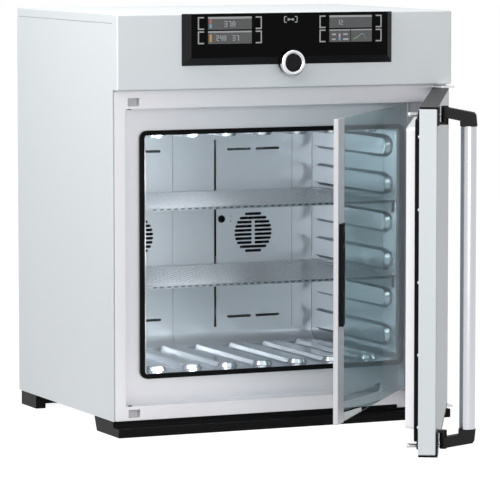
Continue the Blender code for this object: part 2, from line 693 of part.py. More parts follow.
# Base
def make_base_rail(mats):
    """Front base rail with a projecting lip and a hollow cove above it."""
    wall, r = RAIL_WALL, RAIL_COVE
    cove = arc(wall - r, RAIL_LIP_HEIGHT + r, r, 0, -90, 4)
    outline = [(-RAIL_LIP, 0.0), (RAIL_REAR, 0.0), (RAIL_REAR + RAIL_SLOPE, BASE_HEIGHT), (wall, BASE_HEIGHT)]
    outline += cove + [(-RAIL_LIP, RAIL_LIP_HEIGHT)]
    bm = bmesh.new()
    prism(bm, outline, "X", -HALF, HALF)
    finish("base_rail_front", bm, mats["black"], bevel=RAIL_EDGE, segments=1)


def make_rear_base(mats):
    """Rear base: two feet under the side panels and the beam that joins them."""
    outside = HALF - FOOT_INSET
    bm = bmesh.new()
    box(bm, -outside, outside, FOOT_REAR - BEAM_LENGTH, FOOT_REAR, BASE_HEIGHT - BEAM_HEIGHT, BASE_HEIGHT)
    base = finish("rear_base", bm, mats["black"])
    feet = bmesh.new()
    for side in (-1, 1):
        x0, x1 = sorted((side * outside, side * (outside - FOOT_WIDTH)))
        box(feet, x0, x1, FOOT_REAR - FOOT_LENGTH, FOOT_REAR, 0.0, BASE_HEIGHT)
    combine(base, feet, "feet", "UNION")


# Chamber
def rib(bm, turn, across, start, end, low, high):
    """One embossed rib as a closed shape; low and high are (width, level) pairs.

    turn maps (along, across, level) to a point in space.
    """
    slope = (low[0] - high[0]) / 2
    base = stadium(start, end, across, low[0], 4)
    crown = stadium(start + slope, end - slope, across, high[0], 4)
    loft(bm, [[turn(u, v, low[1]) for u, v in base], [turn(u, v, high[1]) for u, v in crown]])


def wall_ribs(raised, hollow, turn, level, side, centres, end):
    """Ribs of one chamber wall: shapes to add and the hollows behind them.

    level is the wall's chamber face and side the way into the chamber.
    """
    back = level - side * SHEET
    for centre in centres:
        rib(raised, turn, centre, RIB_FRONT, end, (RIB_BASE, level - side * SHEET / 2),
            (RIB_CROWN, level + side * RIB_HEIGHT))
        rib(hollow, turn, centre, RIB_FRONT + SHEET, end - SHEET, (RIB_BASE - 2 * SHEET, back - side * SHEET),
            (RIB_CROWN - 2 * SHEET, level + side * (RIB_HEIGHT - SHEET)))


def make_liner(mats):
    """Chamber liner: a tub open at the front with embossed ribs on four walls."""
    x = CHAMBER_HALF + SHEET
    liner = tray("chamber_liner", mats["chamber"], (-x, LINER_FRONT, CHAMBER_FLOOR - SHEET),
                 (x, PLENUM_BACK + SHEET, CHAMBER_CEILING + SHEET), "-Y")
    raised, hollow = bmesh.new(), bmesh.new()
    for side in (-1, 1):
        wall_ribs(raised, hollow, lambda u, v, w: (w, u, v), side * CHAMBER_HALF, -side, WALL_RIBS,
                  CHAMBER_BACK - RIB_END_WALL)
    for level, side in ((CHAMBER_FLOOR, 1), (CHAMBER_CEILING, -1)):
        wall_ribs(raised, hollow, lambda u, v, w: (v, u, w), level, side, FLOOR_RIBS,
                  CHAMBER_BACK - RIB_END_FLOOR)
    combine(liner, raised, "ribs", "UNION")
    half = MODULE_SIZE / 2 + MODULE_CLEARANCE
    for x in (-FAN_X, FAN_X):
        box(hollow, x - half, x + half, PLENUM_BACK - THROUGH, PLENUM_BACK + SHEET + THROUGH, FAN_Z - half,
            FAN_Z + half)
    combine(liner, hollow, "hollows")


def make_insulation(mats):
    """Insulation round the chamber, one body with a window for the heat sink."""
    x = CHAMBER_HALF + SHEET + FIT
    low, high = CHAMBER_FLOOR - SHEET - FIT, CHAMBER_CEILING + SHEET + FIT
    front, rear = LINER_FRONT + INSULATION_FRONT, REAR_INNER - FIT
    outside = HALF - INSULATION_SIDE
    bm = bmesh.new()
    box(bm, -outside, outside, front, rear, BASE_HEIGHT + INSULATION_BOTTOM, FRAME_TOP - INSULATION_TOP)
    body = finish("insulation", bm, mats["wool"])
    tool = bmesh.new()
    box(tool, -x, x, front - THROUGH, PLENUM_BACK + SHEET + FIT, low, high)
    combine(body, tool, "chamber_space")
    window = bmesh.new()
    sink_window(window, PLENUM_BACK, HOUSING_DEPTH)
    combine(body, window, "sink_window")


def sink_window(bm, y0, y1):
    """Cutting shape that clears the heat sink."""
    half_w, half_h = SINK_WIDTH / 2 + SINK_CLEARANCE, SINK_HEIGHT / 2 + SINK_CLEARANCE
    box(bm, -half_w, half_w, y0, y1, FAN_Z - half_h, FAN_Z + half_h)


def make_chamber_seal(mats):
    """Rubber seal round the chamber mouth."""
    x = CHAMBER_HALF + SEAL_OFFSET
    z0, z1 = CHAMBER_FLOOR, CHAMBER_CEILING
    w = SEAL_WIDTH
    bm = bmesh.new()
    ring(bm, rounded(-x - w, x + w, z0 - w, z1 + w, SEAL_RADIUS), rounded(-x, x, z0, z1, SEAL_RADIUS - w), "Y",
         RECESS_DEPTH - FIT - SEAL_DEPTH, RECESS_DEPTH - FIT)
    finish("chamber_seal", bm, mats["rubber"])


def cove_outline():
    """Side view of the back panels, from the floor up, with coved ends."""
    low, high = CHAMBER_FLOOR + SHEET + FIT, CHAMBER_CEILING - SHEET - FIT
    y = CHAMBER_BACK - COVE_RADIUS
    lower = arc(y, low + COVE_RADIUS, COVE_RADIUS, -90, 0, 4)
    upper = arc(y, high - COVE_RADIUS, COVE_RADIUS, 0, 90, 4)
    return [(y - COVE_EDGE, low)] + lower + upper + [(y - COVE_EDGE, high)]


def make_back_panels(mats):
    """Two coved sheets with fan grilles and air slots; one carries the middle strip."""
    edge = CHAMBER_HALF - FIT * 2
    seam = -STRIP_WIDTH / 2
    for name, x0, x1, side in (("back_panel_left", -edge, seam - SEAM, -1), ("back_panel_right", seam, edge, 1)):
        outline = cove_outline()
        bm = bmesh.new()
        rows = [[bm.verts.new((x, y, z)) for y, z in outline] for x in (x0, x1)]
        for i in range(len(outline) - 1):
            bm.faces.new((rows[0][i], rows[1][i], rows[1][i + 1], rows[0][i + 1]))
        panel = formed(name, bm, mats["chamber"])
        tool = bmesh.new()
        grille_slots(tool, side * FAN_X)
        air_slots(tool, side)
        if side > 0:
            middle, half_w = STRIP_WIDTH / 2, AIR_GAP_WIDTH / 2
            half_h = CHAMBER_HEIGHT / 2 - AIR_GAP_MARGIN
            wall_cut(tool, rectangle(middle - half_w, middle + half_w, FAN_Z - half_h, FAN_Z + half_h))
            wall_cut(tool, circle(SENSOR_X, SENSOR_Z, SENSOR_RADIUS + FIT))
        combine(panel, tool, "slots")


def air_slots(bm, side):
    """Two pairs of air slots on one side, above and below its fan."""
    inner = FAN_X - AIR_SLOT_GAP / 2
    for z in (FAN_Z + AIR_SLOT_RISE, FAN_Z - AIR_SLOT_RISE):
        for u in (inner - AIR_SLOT_LENGTH, inner + AIR_SLOT_GAP):
            a, b = sorted((side * u, side * (u + AIR_SLOT_LENGTH)))
            wall_cut(bm, stadium(a, b, z, AIR_SLOT_HEIGHT, 2))


def wall_cut(bm, outline):
    """Cutting shape through the back panels."""
    prism(bm, outline, "Y", CHAMBER_BACK - THROUGH, CHAMBER_BACK + SHEET + THROUGH)


def grille_slots(bm, x):
    """Rows of slots that fill a circle; the long rows have a web in the middle."""
    for row in range(GRILLE_ROWS):
        rise = (row - (GRILLE_ROWS - 1) / 2) * GRILLE_PITCH
        half = math.sqrt(GRILLE_RADIUS ** 2 - rise ** 2)
        z = FAN_Z + rise
        if min(row, GRILLE_ROWS - 1 - row) < GRILLE_WHOLE_ROWS:
            wall_cut(bm, stadium(x - half, x + half, z, GRILLE_SLOT, 2))
        else:
            wall_cut(bm, stadium(x - half, x - GRILLE_WEB / 2, z, GRILLE_SLOT, 2))
            wall_cut(bm, stadium(x + GRILLE_WEB / 2, x + half, z, GRILLE_SLOT, 2))


def make_sensor(mats):
    """Cup of the temperature sensor in the right back panel."""
    y = CHAMBER_BACK - SENSOR_RAISE
    bm = bmesh.new()
    turned(bm, ((SENSOR_RADIUS, y), (SENSOR_RADIUS, y + SENSOR_DEPTH)), "Y", SENSOR_X, SENSOR_Z)
    cup = finish("temperature_sensor", bm, mats["black"], smooth=True)
    tool = bmesh.new()
    inner = SENSOR_RADIUS - SENSOR_WALL
    turned(tool, ((inner, y - THROUGH), (inner, y + SENSOR_CUP)), "Y", SENSOR_X, SENSOR_Z)
    combine(cup, tool, "cup")


# Fans and cooling
def fan_wheel(name, mat, pivot, x, y, shaft_end):
    """Axial fan wheel: hub, pitched blades and a shaft towards its motor."""
    bm = bmesh.new()
    way = 1 if shaft_end > y else -1
    near, far = (y, y + FAN_WIDTH) if way > 0 else (y + FAN_WIDTH, y)
    turned(bm, ((FAN_NOSE, near), (FAN_HUB, near + way * FAN_NOSE_LENGTH), (FAN_HUB, far), (FAN_SHAFT, far),
                (FAN_SHAFT, shaft_end)), "Y", x, FAN_Z, 20)
    wheel = finish(name, bm, mat, pivot, smooth=True)
    tool = bmesh.new()
    half_t, half_c = BLADE_THICKNESS / 2, BLADE_CHORD / 2
    hub = Matrix.Translation((x, y + FAN_WIDTH / 2, FAN_Z))
    for i in range(FAN_BLADES):
        before = len(tool.verts)
        box(tool, BLADE_ROOT, FAN_RADIUS, -half_t, half_t, -half_c, half_c)
        turn = Matrix.Rotation(2 * math.pi * i / FAN_BLADES, 4, "Y") @ Matrix.Rotation(BLADE_PITCH, 4, "X")
        tool.verts.ensure_lookup_table()
        bmesh.ops.transform(tool, matrix=hub @ turn, verts=tool.verts[before:])
    combine(wheel, tool, "blades", "UNION", pivot)


def make_chamber_fans(mats):
    """Fan wheels behind the grilles and their motors on the cold sink."""
    y = CHAMBER_BACK + SHEET + FAN_BEHIND_PANEL
    motor_front = y + FAN_WIDTH + FAN_RUNNING_GAP
    motor_back = PLENUM_BACK - FIT - SINK_BASE - FIT
    for side, x in (("left", -FAN_X), ("right", FAN_X)):
        pivot = pivot_at("chamber_fan_axis_" + side, (x, y, FAN_Z))
        fan_wheel("chamber_fan_" + side, mats["black"], pivot, x, y, motor_front + SHAFT_SEAT)
        bm = bmesh.new()
        turned(bm, ((FAN_MOTOR_RADIUS, motor_front), (FAN_MOTOR_RADIUS, motor_back)), "Y", x, FAN_Z)
        motor = finish("chamber_fan_motor_" + side, bm, mats["black"], smooth=True)
        tool = bmesh.new()
        bore = FAN_SHAFT + SHAFT_CLEARANCE
        turned(tool, ((bore, motor_front - THROUGH), (bore, motor_front + SHAFT_SEAT + SHAFT_CLEARANCE)), "Y", x,
               FAN_Z, 20)
        combine(motor, tool, "shaft_bore")


def comb(base_level, tip_level):
    """Outline of a finned heat sink seen along its fins, base at base_level."""
    half = SINK_WIDTH / 2
    root = base_level + math.copysign(SINK_BASE, tip_level - base_level)
    points = [(-half, base_level), (half, base_level)]
    pitch = (SINK_WIDTH - SINK_FIN) / (SINK_FINS - 1)
    for i in reversed(range(SINK_FINS)):
        left = -half + i * pitch
        points += [(left + SINK_FIN, root)] if i < SINK_FINS - 1 else []
        points += [(left + SINK_FIN, tip_level), (left, tip_level)]
        points += [(left, root)] if i > 0 else []
    return points


def make_heat_pumps(mats):
    """Cold sink in the plenum, two Peltier modules and the hot sink behind them."""
    cold_back = PLENUM_BACK - FIT
    module_front = PLENUM_BACK
    hot_front = module_front + MODULE_HEIGHT + FIT
    low, high = FAN_Z - SINK_HEIGHT / 2, FAN_Z + SINK_HEIGHT / 2
    bm = bmesh.new()
    prism(bm, comb(cold_back, cold_back - SINK_BASE - COLD_FIN_HEIGHT), "Z", low, high)
    sink = finish("cold_sink", bm, mats["sink"])
    tool = bmesh.new()
    for x in (-FAN_X, FAN_X):
        prism(tool, circle(x, FAN_Z, FAN_MOTOR_RADIUS + MOTOR_CLEARANCE), "Y",
              cold_back - SINK_BASE - COLD_FIN_HEIGHT - THROUGH, cold_back - SINK_BASE)
    combine(sink, tool, "motor_clearance")
    bm = bmesh.new()
    prism(bm, comb(hot_front, hot_front + SINK_BASE + HOT_FIN_HEIGHT), "Z", low, high)
    finish("hot_sink", bm, mats["sink"])
    half = MODULE_SIZE / 2
    for side, x in (("left", -FAN_X), ("right", FAN_X)):
        bm = bmesh.new()
        box(bm, x - half, x + half, module_front, module_front + MODULE_HEIGHT, FAN_Z - half, FAN_Z + half)
        finish("peltier_module_" + side, bm, mats["ceramic"])


def make_rear_fans(mats):
    """Rear fans that blow through the hot sink, in one frame inside the unit cover."""
    rear = HOUSING_DEPTH + UNIT_DEPTH - SHEET
    front = rear - REAR_FAN_DEPTH
    half = REAR_FAN_FRAME / 2
    plate = rear - REAR_FAN_WALL
    wall = REAR_FAN_WALL
    bm = bmesh.new()
    box(bm, -FAN_X - half, FAN_X + half, front, rear, FAN_Z - half, FAN_Z + half)
    frame = finish("rear_fan_frame", bm, mats["black"])
    tool = bmesh.new()
    for x in (-FAN_X, FAN_X):
        prism(tool, circle(x, FAN_Z, FAN_RADIUS + FAN_RUNNING_GAP, 24), "Y", front - THROUGH, plate)
    box(tool, -FAN_X + half + wall, FAN_X - half - wall, front - THROUGH, plate, FAN_Z - half + wall,
        FAN_Z + half - wall)
    combine(frame, tool, "air_way")
    holes = bmesh.new()
    for x in (-FAN_X, FAN_X):
        prism(holes, circle(x, FAN_Z, FAN_SHAFT + SHAFT_CLEARANCE, 12), "Y", plate - THROUGH, rear + THROUGH)
        for quarter in range(4):
            start = 90 * quarter + OUTLET_SPOKE
            end = start + OUTLET_ANGLE
            outline = arc(x, FAN_Z, FAN_RADIUS, start, end, 5) + arc(x, FAN_Z, FAN_HUB, end - OUTLET_SPOKE, start, 3)
            prism(holes, outline, "Y", plate - THROUGH, rear + THROUGH)
    combine(frame, holes, "outlets")
    for side, x in (("left", -FAN_X), ("right", FAN_X)):
        y = plate - FAN_RUNNING_GAP - FAN_WIDTH
        pivot = pivot_at("rear_fan_axis_" + side, (x, y, FAN_Z))
        fan_wheel("rear_fan_" + side, mats["black"], pivot, x, y, rear - FAN_RUNNING_GAP)


def make_unit_cover(mats):
    """Cover of the cooling unit with louvres at the back and the sides."""
    y0 = HOUSING_DEPTH + FIT
    y1 = y0 + UNIT_DEPTH
    half_w, half_h = UNIT_WIDTH / 2, UNIT_HEIGHT / 2
    cover = tray("cooling_cover", mats["steel"], (-half_w, y0, FAN_Z - half_h), (half_w, y1, FAN_Z + half_h), "-Y",
                 bevel=UNIT_RADIUS)
    tool = bmesh.new()
    for row in range(LOUVRE_ROWS):
        z = FAN_Z + (row - (LOUVRE_ROWS - 1) / 2) * LOUVRE_PITCH
        for x in (-FAN_X, FAN_X):
            outline = stadium(x - LOUVRE_LENGTH / 2, x + LOUVRE_LENGTH / 2, z, LOUVRE_HEIGHT, 2)
            prism(tool, outline, "Y", y1 - THROUGH, y1 + THROUGH)
        for x in (-half_w, half_w):
            outline = stadium(y0 + LOUVRE_MARGIN, y1 - LOUVRE_MARGIN, z, LOUVRE_HEIGHT, 2)
            prism(tool, outline, "X", x - THROUGH, x + THROUGH)
    combine(cover, tool, "louvres")


# Control panel
def panel_outline(inset):
    """Rectangle of the control panel's face, sloped in by inset but flush at the top."""
    half = PANEL_WIDTH / 2 - inset
    return rectangle(-half, half, PANEL_BOTTOM + inset, HOUSING_TOP - FIT)


def make_control_panel(mats):
    """Black bezel with sloping borders, its glass and the display module."""
    bm = bmesh.new()
    loft(bm, [[place("Y", u, v, w) for u, v in panel_outline(inset)] for inset, w in
              ((0.0, FASCIA_FRONT), (PANEL_SLOPE, PANEL_FRONT))])
    bezel = finish("panel_bezel", bm, mats["black"])
    tool, pocket = bmesh.new(), bmesh.new()
    carrier_front = FASCIA_FRONT - CARRIER_DEPTH
    reach = SCREEN_OFFSET + SCREEN_WIDTH / 2
    screen_top = SCREEN_BOTTOM + SCREEN_HEIGHT
    dial_hole = circle(0.0, DIAL_Z, COLLAR_RADIUS + FIT, 32)
    for x0, x1 in screen_edges():
        box(tool, x0 - FIT, x1 + FIT, PANEL_FRONT - THROUGH, carrier_front + OVERLAP, SCREEN_BOTTOM - FIT,
            screen_top + FIT)
    prism(tool, dial_hole, "Y", PANEL_FRONT - THROUGH, FASCIA_FRONT + THROUGH)
    combine(bezel, tool, "windows")
    box(pocket, -reach - FIT, reach + FIT, carrier_front - FIT, FASCIA_FRONT + THROUGH, SCREEN_BOTTOM - FIT,
        screen_top + FIT)
    combine(bezel, pocket, "carrier_pocket")
    bm, tool = bmesh.new(), bmesh.new()
    prism(bm, panel_outline(PANEL_SLOPE + GLASS_INSET), "Y", PANEL_FRONT - FIT - GLASS_SHEET, PANEL_FRONT - FIT)
    glass = finish("panel_glass", bm, mats["gloss"])
    prism(tool, dial_hole, "Y", PANEL_FRONT - FIT - GLASS_SHEET - THROUGH, PANEL_FRONT + THROUGH)
    combine(glass, tool, "dial_notch")
    bm, screens = bmesh.new(), bmesh.new()
    box(bm, -reach, reach, carrier_front, FASCIA_FRONT, SCREEN_BOTTOM, screen_top)
    display = finish("display_module", bm, mats["screen"])
    for x0, x1 in screen_edges():
        box(screens, x0, x1, PANEL_FRONT, carrier_front + OVERLAP, SCREEN_BOTTOM, screen_top)
    combine(display, screens, "screens", "UNION")


def screen_edges():
    """Left and right edge of each screen."""
    return [(middle - SCREEN_WIDTH / 2, middle + SCREEN_WIDTH / 2) for middle in (-SCREEN_OFFSET, SCREEN_OFFSET)]


def make_control_board(mats):
    """Circuit board behind the fascia with the dial's encoder soldered to its front."""
    front = BOARD_REAR - BOARD_THICKNESS
    fascia_inner = -FASCIA_DEPTH + FASCIA_WALL
    half = ENCODER_SIZE / 2
    bm, encoder, tool = bmesh.new(), bmesh.new(), bmesh.new()
    box(bm, -BOARD_WIDTH / 2, BOARD_WIDTH / 2, front, BOARD_REAR, DIAL_Z - BOARD_BELOW_DIAL,
        COVER_BOTTOM - BOARD_TOP_GAP)
    board = finish("control_board", bm, mats["board"])
    box(encoder, -half, half, fascia_inner + FIT, front + BOARD_THICKNESS / 2, DIAL_Z - half, DIAL_Z + half)
    combine(board, encoder, "encoder", "UNION")
    bore = circle(0.0, DIAL_Z, DIAL_SHAFT + SHAFT_CLEARANCE, 16)
    prism(tool, bore, "Y", fascia_inner - THROUGH, front - ENCODER_FLOOR)
    combine(board, tool, "encoder_bore")


def make_collar(mats):
    """Fixed collar that the dial sits in front of."""
    front = FASCIA_FRONT - COLLAR_DEPTH
    profile = ((COLLAR_RADIUS, FASCIA_FRONT), (COLLAR_RADIUS, front + COLLAR_EDGE),
               (COLLAR_RADIUS - COLLAR_EDGE, front))
    bm, tool = bmesh.new(), bmesh.new()
    turned(bm, profile, "Y", 0.0, DIAL_Z, 32)
    collar = finish("dial_collar", bm, mats["black"], smooth=True)
    prism(tool, circle(0.0, DIAL_Z, DIAL_SHAFT + SHAFT_CLEARANCE, 16), "Y", front - THROUGH, FASCIA_FRONT + THROUGH)
    combine(collar, tool, "bore")


def make_dial(mats):
    """Turn-and-push dial: shaft, black cap and bright ring."""
    back = FASCIA_FRONT - COLLAR_DEPTH - DIAL_TRAVEL - DIAL_STOP_GAP
    front = back - DIAL_DEPTH
    push = pivot_at("dial_axis", (0.0, back, DIAL_Z))
    shaft_back = BOARD_REAR - BOARD_THICKNESS - ENCODER_FLOOR - DIAL_TRAVEL - DIAL_STOP_GAP - FIT
    seat = back - SHAFT_IN_CAP
    bm = bmesh.new()
    turned(bm, ((DIAL_SHAFT, shaft_back), (DIAL_SHAFT, seat)), "Y", 0.0, DIAL_Z, 16)
    finish("dial_shaft", bm, mats["tube"], push, smooth=True)
    bm, tool = bmesh.new(), bmesh.new()
    face = DIAL_FACE_RADIUS - FIT
    turned(bm, ((face, back), (face, front + DIAL_EDGE), (face - CAP_EDGE, front + DIAL_INNER_DEPTH)), "Y", 0.0,
           DIAL_Z, 32)
    cap = finish("dial_cap", bm, mats["black"], push, smooth=True)
    bore = circle(0.0, DIAL_Z, DIAL_SHAFT + SHAFT_CLEARANCE, 16)
    prism(tool, bore, "Y", seat - SHAFT_END_GAP, back + THROUGH)
    combine(cap, tool, "bore", pivot=push)
    bm = bmesh.new()
    outline = [(DIAL_FACE_RADIUS, back), (DIAL_RADIUS, back), (DIAL_RADIUS, front + DIAL_EDGE),
               (DIAL_RADIUS - DIAL_EDGE, front), (DIAL_FACE_RADIUS + DIAL_INNER_EDGE, front),
               (DIAL_FACE_RADIUS, front + DIAL_INNER_DEPTH)]
    loft(bm, [[place("Y", u, v, w) for u, v in circle(0.0, DIAL_Z, r, 28)] for r, w in outline], closed=True)
    finish("dial_ring", bm, mats["chrome"], push, smooth=True)


# Outer door
def make_door_shell(mats, pivot):
    """Outer door's folded shell and its end caps."""
    low, high = DOOR_BOTTOM + DOOR_CAP + FIT, DOOR_TOP - DOOR_CAP - FIT
    back = -DOOR_STANDOFF
    shell = tray("door_shell", mats["coat"], (-HALF, DOOR_FRONT, low), (HALF, back, high), "+Y", pivot,
                 bevel=DOOR_RADIUS)
    pin_hole = circle(DOOR_HINGE_X, DOOR_HINGE_Y, HINGE_PIN + PIN_CLEARANCE, 16)
    tool = bmesh.new()
    rod_slots(tool, DOOR_FRONT - THROUGH, DOOR_FRONT + THROUGH)
    prism(tool, pin_hole, "Z", low - THROUGH, low + 2 * THROUGH)
    prism(tool, pin_hole, "Z", high - 2 * THROUGH, high + THROUGH)
    combine(shell, tool, "openings", pivot=pivot)
    for name, z0, z1 in (("door_cap_bottom", DOOR_BOTTOM, DOOR_BOTTOM + DOOR_CAP),
                         ("door_cap_top", DOOR_TOP - DOOR_CAP, DOOR_TOP)):
        bm, tool = bmesh.new(), bmesh.new()
        prism(bm, rounded(-HALF, HALF, DOOR_FRONT, back, DOOR_RADIUS), "Z", z0, z1)
        cap = finish(name, bm, mats["black"], pivot)
        prism(tool, pin_hole, "Z", z0 - THROUGH, z1 + THROUGH)
        combine(cap, tool, "pin_hole", pivot=pivot)


def make_door_lining(mats, pivot):
    """Outer door's inner panel with its plug, the wool behind it and the seal."""
    back = -DOOR_STANDOFF
    x = HALF - SHEET - 2 * FIT
    low = DOOR_BOTTOM + DOOR_CAP + SHEET + 3 * FIT
    high = DOOR_TOP - DOOR_CAP - SHEET - 3 * FIT
    inset = PLUG_TAPER
    outer = rounded(-x, x, low, high, PANEL_RADIUS)
    base = rounded(-PLUG_HALF, PLUG_HALF, PLUG_BOTTOM, PLUG_TOP, PLUG_RADIUS)
    crown = rounded(-PLUG_HALF + inset, PLUG_HALF - inset, PLUG_BOTTOM + inset, PLUG_TOP - inset, PLUG_RADIUS)
    bm = bmesh.new()
    loft(bm, [[place("Y", u, v, w) for u, v in outline] for outline, w in
              ((outer, back), (base, back), (crown, back + PLUG_DEPTH))], caps=False)
    bm.verts.ensure_lookup_table()
    face = bm.faces.new(bm.verts[-len(crown):])
    bmesh.ops.recalc_face_normals(bm, faces=bm.faces)
    if face.normal.y < 0:
        bmesh.ops.reverse_faces(bm, faces=bm.faces)
    panel = formed("door_inner_panel", bm, mats["steel"], pivot, PANEL_SHEET)
    tool = bmesh.new()
    rod_slots(tool, back - THROUGH, back + PANEL_SHEET)
    combine(panel, tool, "rod_slots", pivot=pivot)

    bm = bmesh.new()
    bottom, top = LATCH_HEIGHTS
    box(bm, -HALF + WOOL_SIDE, HALF - WOOL_SIDE, DOOR_FRONT + SHEET + FIT, back - SHEET - FIT, bottom + WOOL_END,
        top - WOOL_END)
    finish("door_insulation", bm, mats["wool"], pivot)

    bm = bmesh.new()
    x, w = HALF - DOOR_SEAL_SIDE, DOOR_SEAL_WIDTH
    z0, z1 = RECESS_BOTTOM - DOOR_SEAL_BELOW, RECESS_TOP + DOOR_SEAL_ABOVE
    hole = rounded(-x + w, x - w, z0 + w, z1 - w, DOOR_SEAL_INNER_RADIUS)
    ring(bm, rounded(-x, x, z0, z1, DOOR_SEAL_RADIUS), hole, "Y", back + FIT, -FIT)
    finish("door_seal", bm, mats["rubber"], pivot)


def rod_slots(bm, y0, y1):
    """Cutting shapes for the latch rods and their swing."""
    swing = (-DOOR_STANDOFF - HANDLE_Y) * math.sin(LEVER_SWING)
    reach = ROD_RADIUS + ROD_SLOT_SIDE
    for z in LATCH_HEIGHTS:
        box(bm, HANDLE_X - reach, HANDLE_X + swing + reach, y0, y1, z - ROD_SLOT_HEIGHT / 2, z + ROD_SLOT_HEIGHT / 2)


def make_hinge_plates(mats):
    """Outer door hinge plates on the frame, each with its strip and pin."""
    plate_outline = rounded(HALF - PLATE_WIDTH, HALF, DOOR_HINGE_Y - PLATE_NOSE, -FIT, PLATE_RADIUS)
    pin_outline = circle(DOOR_HINGE_X, DOOR_HINGE_Y, HINGE_PIN, 16)
    for name, edge, way, height in (("hinge_plate_top", DOOR_TOP + FIT, 1, STRIP_HEIGHT_TOP),
                                    ("hinge_plate_bottom", DOOR_BOTTOM - FIT, -1, STRIP_HEIGHT_BOTTOM)):
        far = edge + way * HINGE_PLATE
        bm, strip, pin = bmesh.new(), bmesh.new(), bmesh.new()
        prism(bm, plate_outline, "Z", *sorted((edge, far)))
        plate = finish(name, bm, mats["black"])
        tip, left, step = far - way * height, HALF - HINGE_STRIP_LENGTH, HALF - HINGE_STRIP_STEP
        prism(strip, [(left, far), (HALF, far), (HALF, edge), (step, edge), (step, tip), (left, tip)], "Y",
              -FIT - HINGE_STRIP, -FIT)
        combine(plate, strip, "strip", "UNION")
        prism(pin, pin_outline, "Z", *sorted((edge + way * OVERLAP, edge - way * HINGE_PIN_LENGTH)))
        combine(plate, pin, "pin", "UNION")


# Latch lever
def mirrored(z, flip):
    """Height of a lever feature on the upper end, or on the lower end if flipped."""
    return 2 * DOOR_MIDDLE - z + LOWER_ARM_RAISE if flip else z


def span(z0, z1, flip):
    """Lower and upper end of a lever feature, mirrored to the lower end if flipped."""
    return sorted((mirrored(z0, flip), mirrored(z1, flip)))


def make_handle_brackets(mats, pivot):
    """Brackets on the door, top and bottom, that carry the lever's pins."""
    base = LATCH_TOP - BRACKET_DROP
    y1 = DOOR_FRONT - FIT
    y0 = y1 - BRACKET_PLATE
    outline = [(HANDLE_X + HUB_RADIUS, y1 - OVERLAP)] + arc(HANDLE_X, HANDLE_Y, HUB_RADIUS, 0, -180, 8)
    outline += [(HANDLE_X - HUB_RADIUS, y1 - OVERLAP)]
    for name, flip in (("handle_bracket_top", False), ("handle_bracket_bottom", True)):
        bm, ear, pin, slot = bmesh.new(), bmesh.new(), bmesh.new(), bmesh.new()
        box(bm, -HALF, -HALF + BRACKET_WIDTH, y0, y1,
            *sorted((mirrored(base, flip), DOOR_BOTTOM if flip else DOOR_TOP)))
        prism(ear, outline, "Z", *span(base, base + BRACKET_EAR, flip))
        prism(pin, circle(HANDLE_X, HANDLE_Y, LEVER_PIN, 16), "Z",
              *span(base + BRACKET_EAR - OVERLAP, LATCH_TOP + HUB_ABOVE - PIN_END_GAP, flip))
        rod_slots(slot, y0 - THROUGH, y1 + THROUGH)
        plate = finish(name, bm, mats["black"], pivot)
        combine(plate, ear, "ear", "UNION", pivot)
        combine(plate, pin, "pin", "UNION", pivot)
        combine(plate, slot, "rod_slot", pivot=pivot)


def arm_outline():
    """Side view of the upper lever arm as (y, z), from its root round to its heel."""
    tube_y = DOOR_FRONT - HANDLE_REACH
    tube_end = LATCH_TOP - TUBE_DROP + FIT
    front, rear = tube_y - TUBE_RADIUS - TUBE_WALL_ON_ARM, tube_y + TUBE_RADIUS + TUBE_WALL_ON_ARM
    root, top = HANDLE_Y - OVERLAP, LATCH_TOP + HUB_ABOVE - ARM_TOP_INSET
    return [(root, LATCH_TOP - ARM_ROOT_BELOW), (root, top), (front + ARM_NOSE, LATCH_TOP + ARM_NOSE_ABOVE),
            (front + ARM_CHAMFER, LATCH_TOP - ARM_CHAMFER_BELOW), (front, tube_end), (rear, tube_end),
            (rear, LATCH_TOP - ARM_HEEL_BELOW)]


def make_lever(mats, pivot):
    """Lever that opens the door: two arms, the tube between them and the latch rods."""
    tube_end = LATCH_TOP - TUBE_DROP
    top, low = LATCH_TOP + HUB_ABOVE, LATCH_TOP - BRACKET_DROP + BRACKET_EAR + FIT
    rod_start = HANDLE_Y + HUB_RADIUS + FIT
    edge = HUB_EDGE
    rod_profile = ((ROD_RADIUS, rod_start), (ROD_RADIUS, ROD_REACH - ROD_HEAD_LENGTH - ROD_EDGE),
                   (ROD_HEAD, ROD_REACH - ROD_HEAD_LENGTH), (ROD_HEAD, ROD_REACH - ROD_EDGE),
                   (ROD_HEAD - ROD_EDGE, ROD_REACH))
    for label, flip in (("top", False), ("bottom", True)):
        hub, web, bore, rod = bmesh.new(), bmesh.new(), bmesh.new(), bmesh.new()
        z0, z1 = span(low, top, flip)
        turned(hub, ((HUB_RADIUS - edge, z0), (HUB_RADIUS, z0 + edge), (HUB_RADIUS, z1 - edge),
                     (HUB_RADIUS - edge, z1)), "Z", HANDLE_X, HANDLE_Y, 24)
        prism(web, [(y, mirrored(z, flip)) for y, z in arm_outline()], "X", HANDLE_X - ARM_WIDTH / 2,
              HANDLE_X + ARM_WIDTH / 2)
        prism(bore, circle(HANDLE_X, HANDLE_Y, LEVER_PIN + PIN_CLEARANCE, 16), "Z", z0 - THROUGH, z1 + THROUGH)
        arm = finish("handle_arm_" + label, hub, mats["black"], pivot, smooth=True)
        combine(arm, web, "web", "UNION", pivot)
        combine(arm, bore, "bore", pivot=pivot)
        turned(rod, rod_profile, "Y", HANDLE_X, LATCH_HEIGHTS[0 if flip else 1], 16)
        finish("latch_rod_" + label, rod, mats["steel"], pivot, smooth=True)
    bm = bmesh.new()
    turned(bm, ((TUBE_RADIUS, mirrored(tube_end, True)), (TUBE_RADIUS, tube_end)), "Z", HANDLE_X,
           DOOR_FRONT - HANDLE_REACH, 32)
    finish("handle_tube", bm, mats["tube"], pivot, smooth=True)


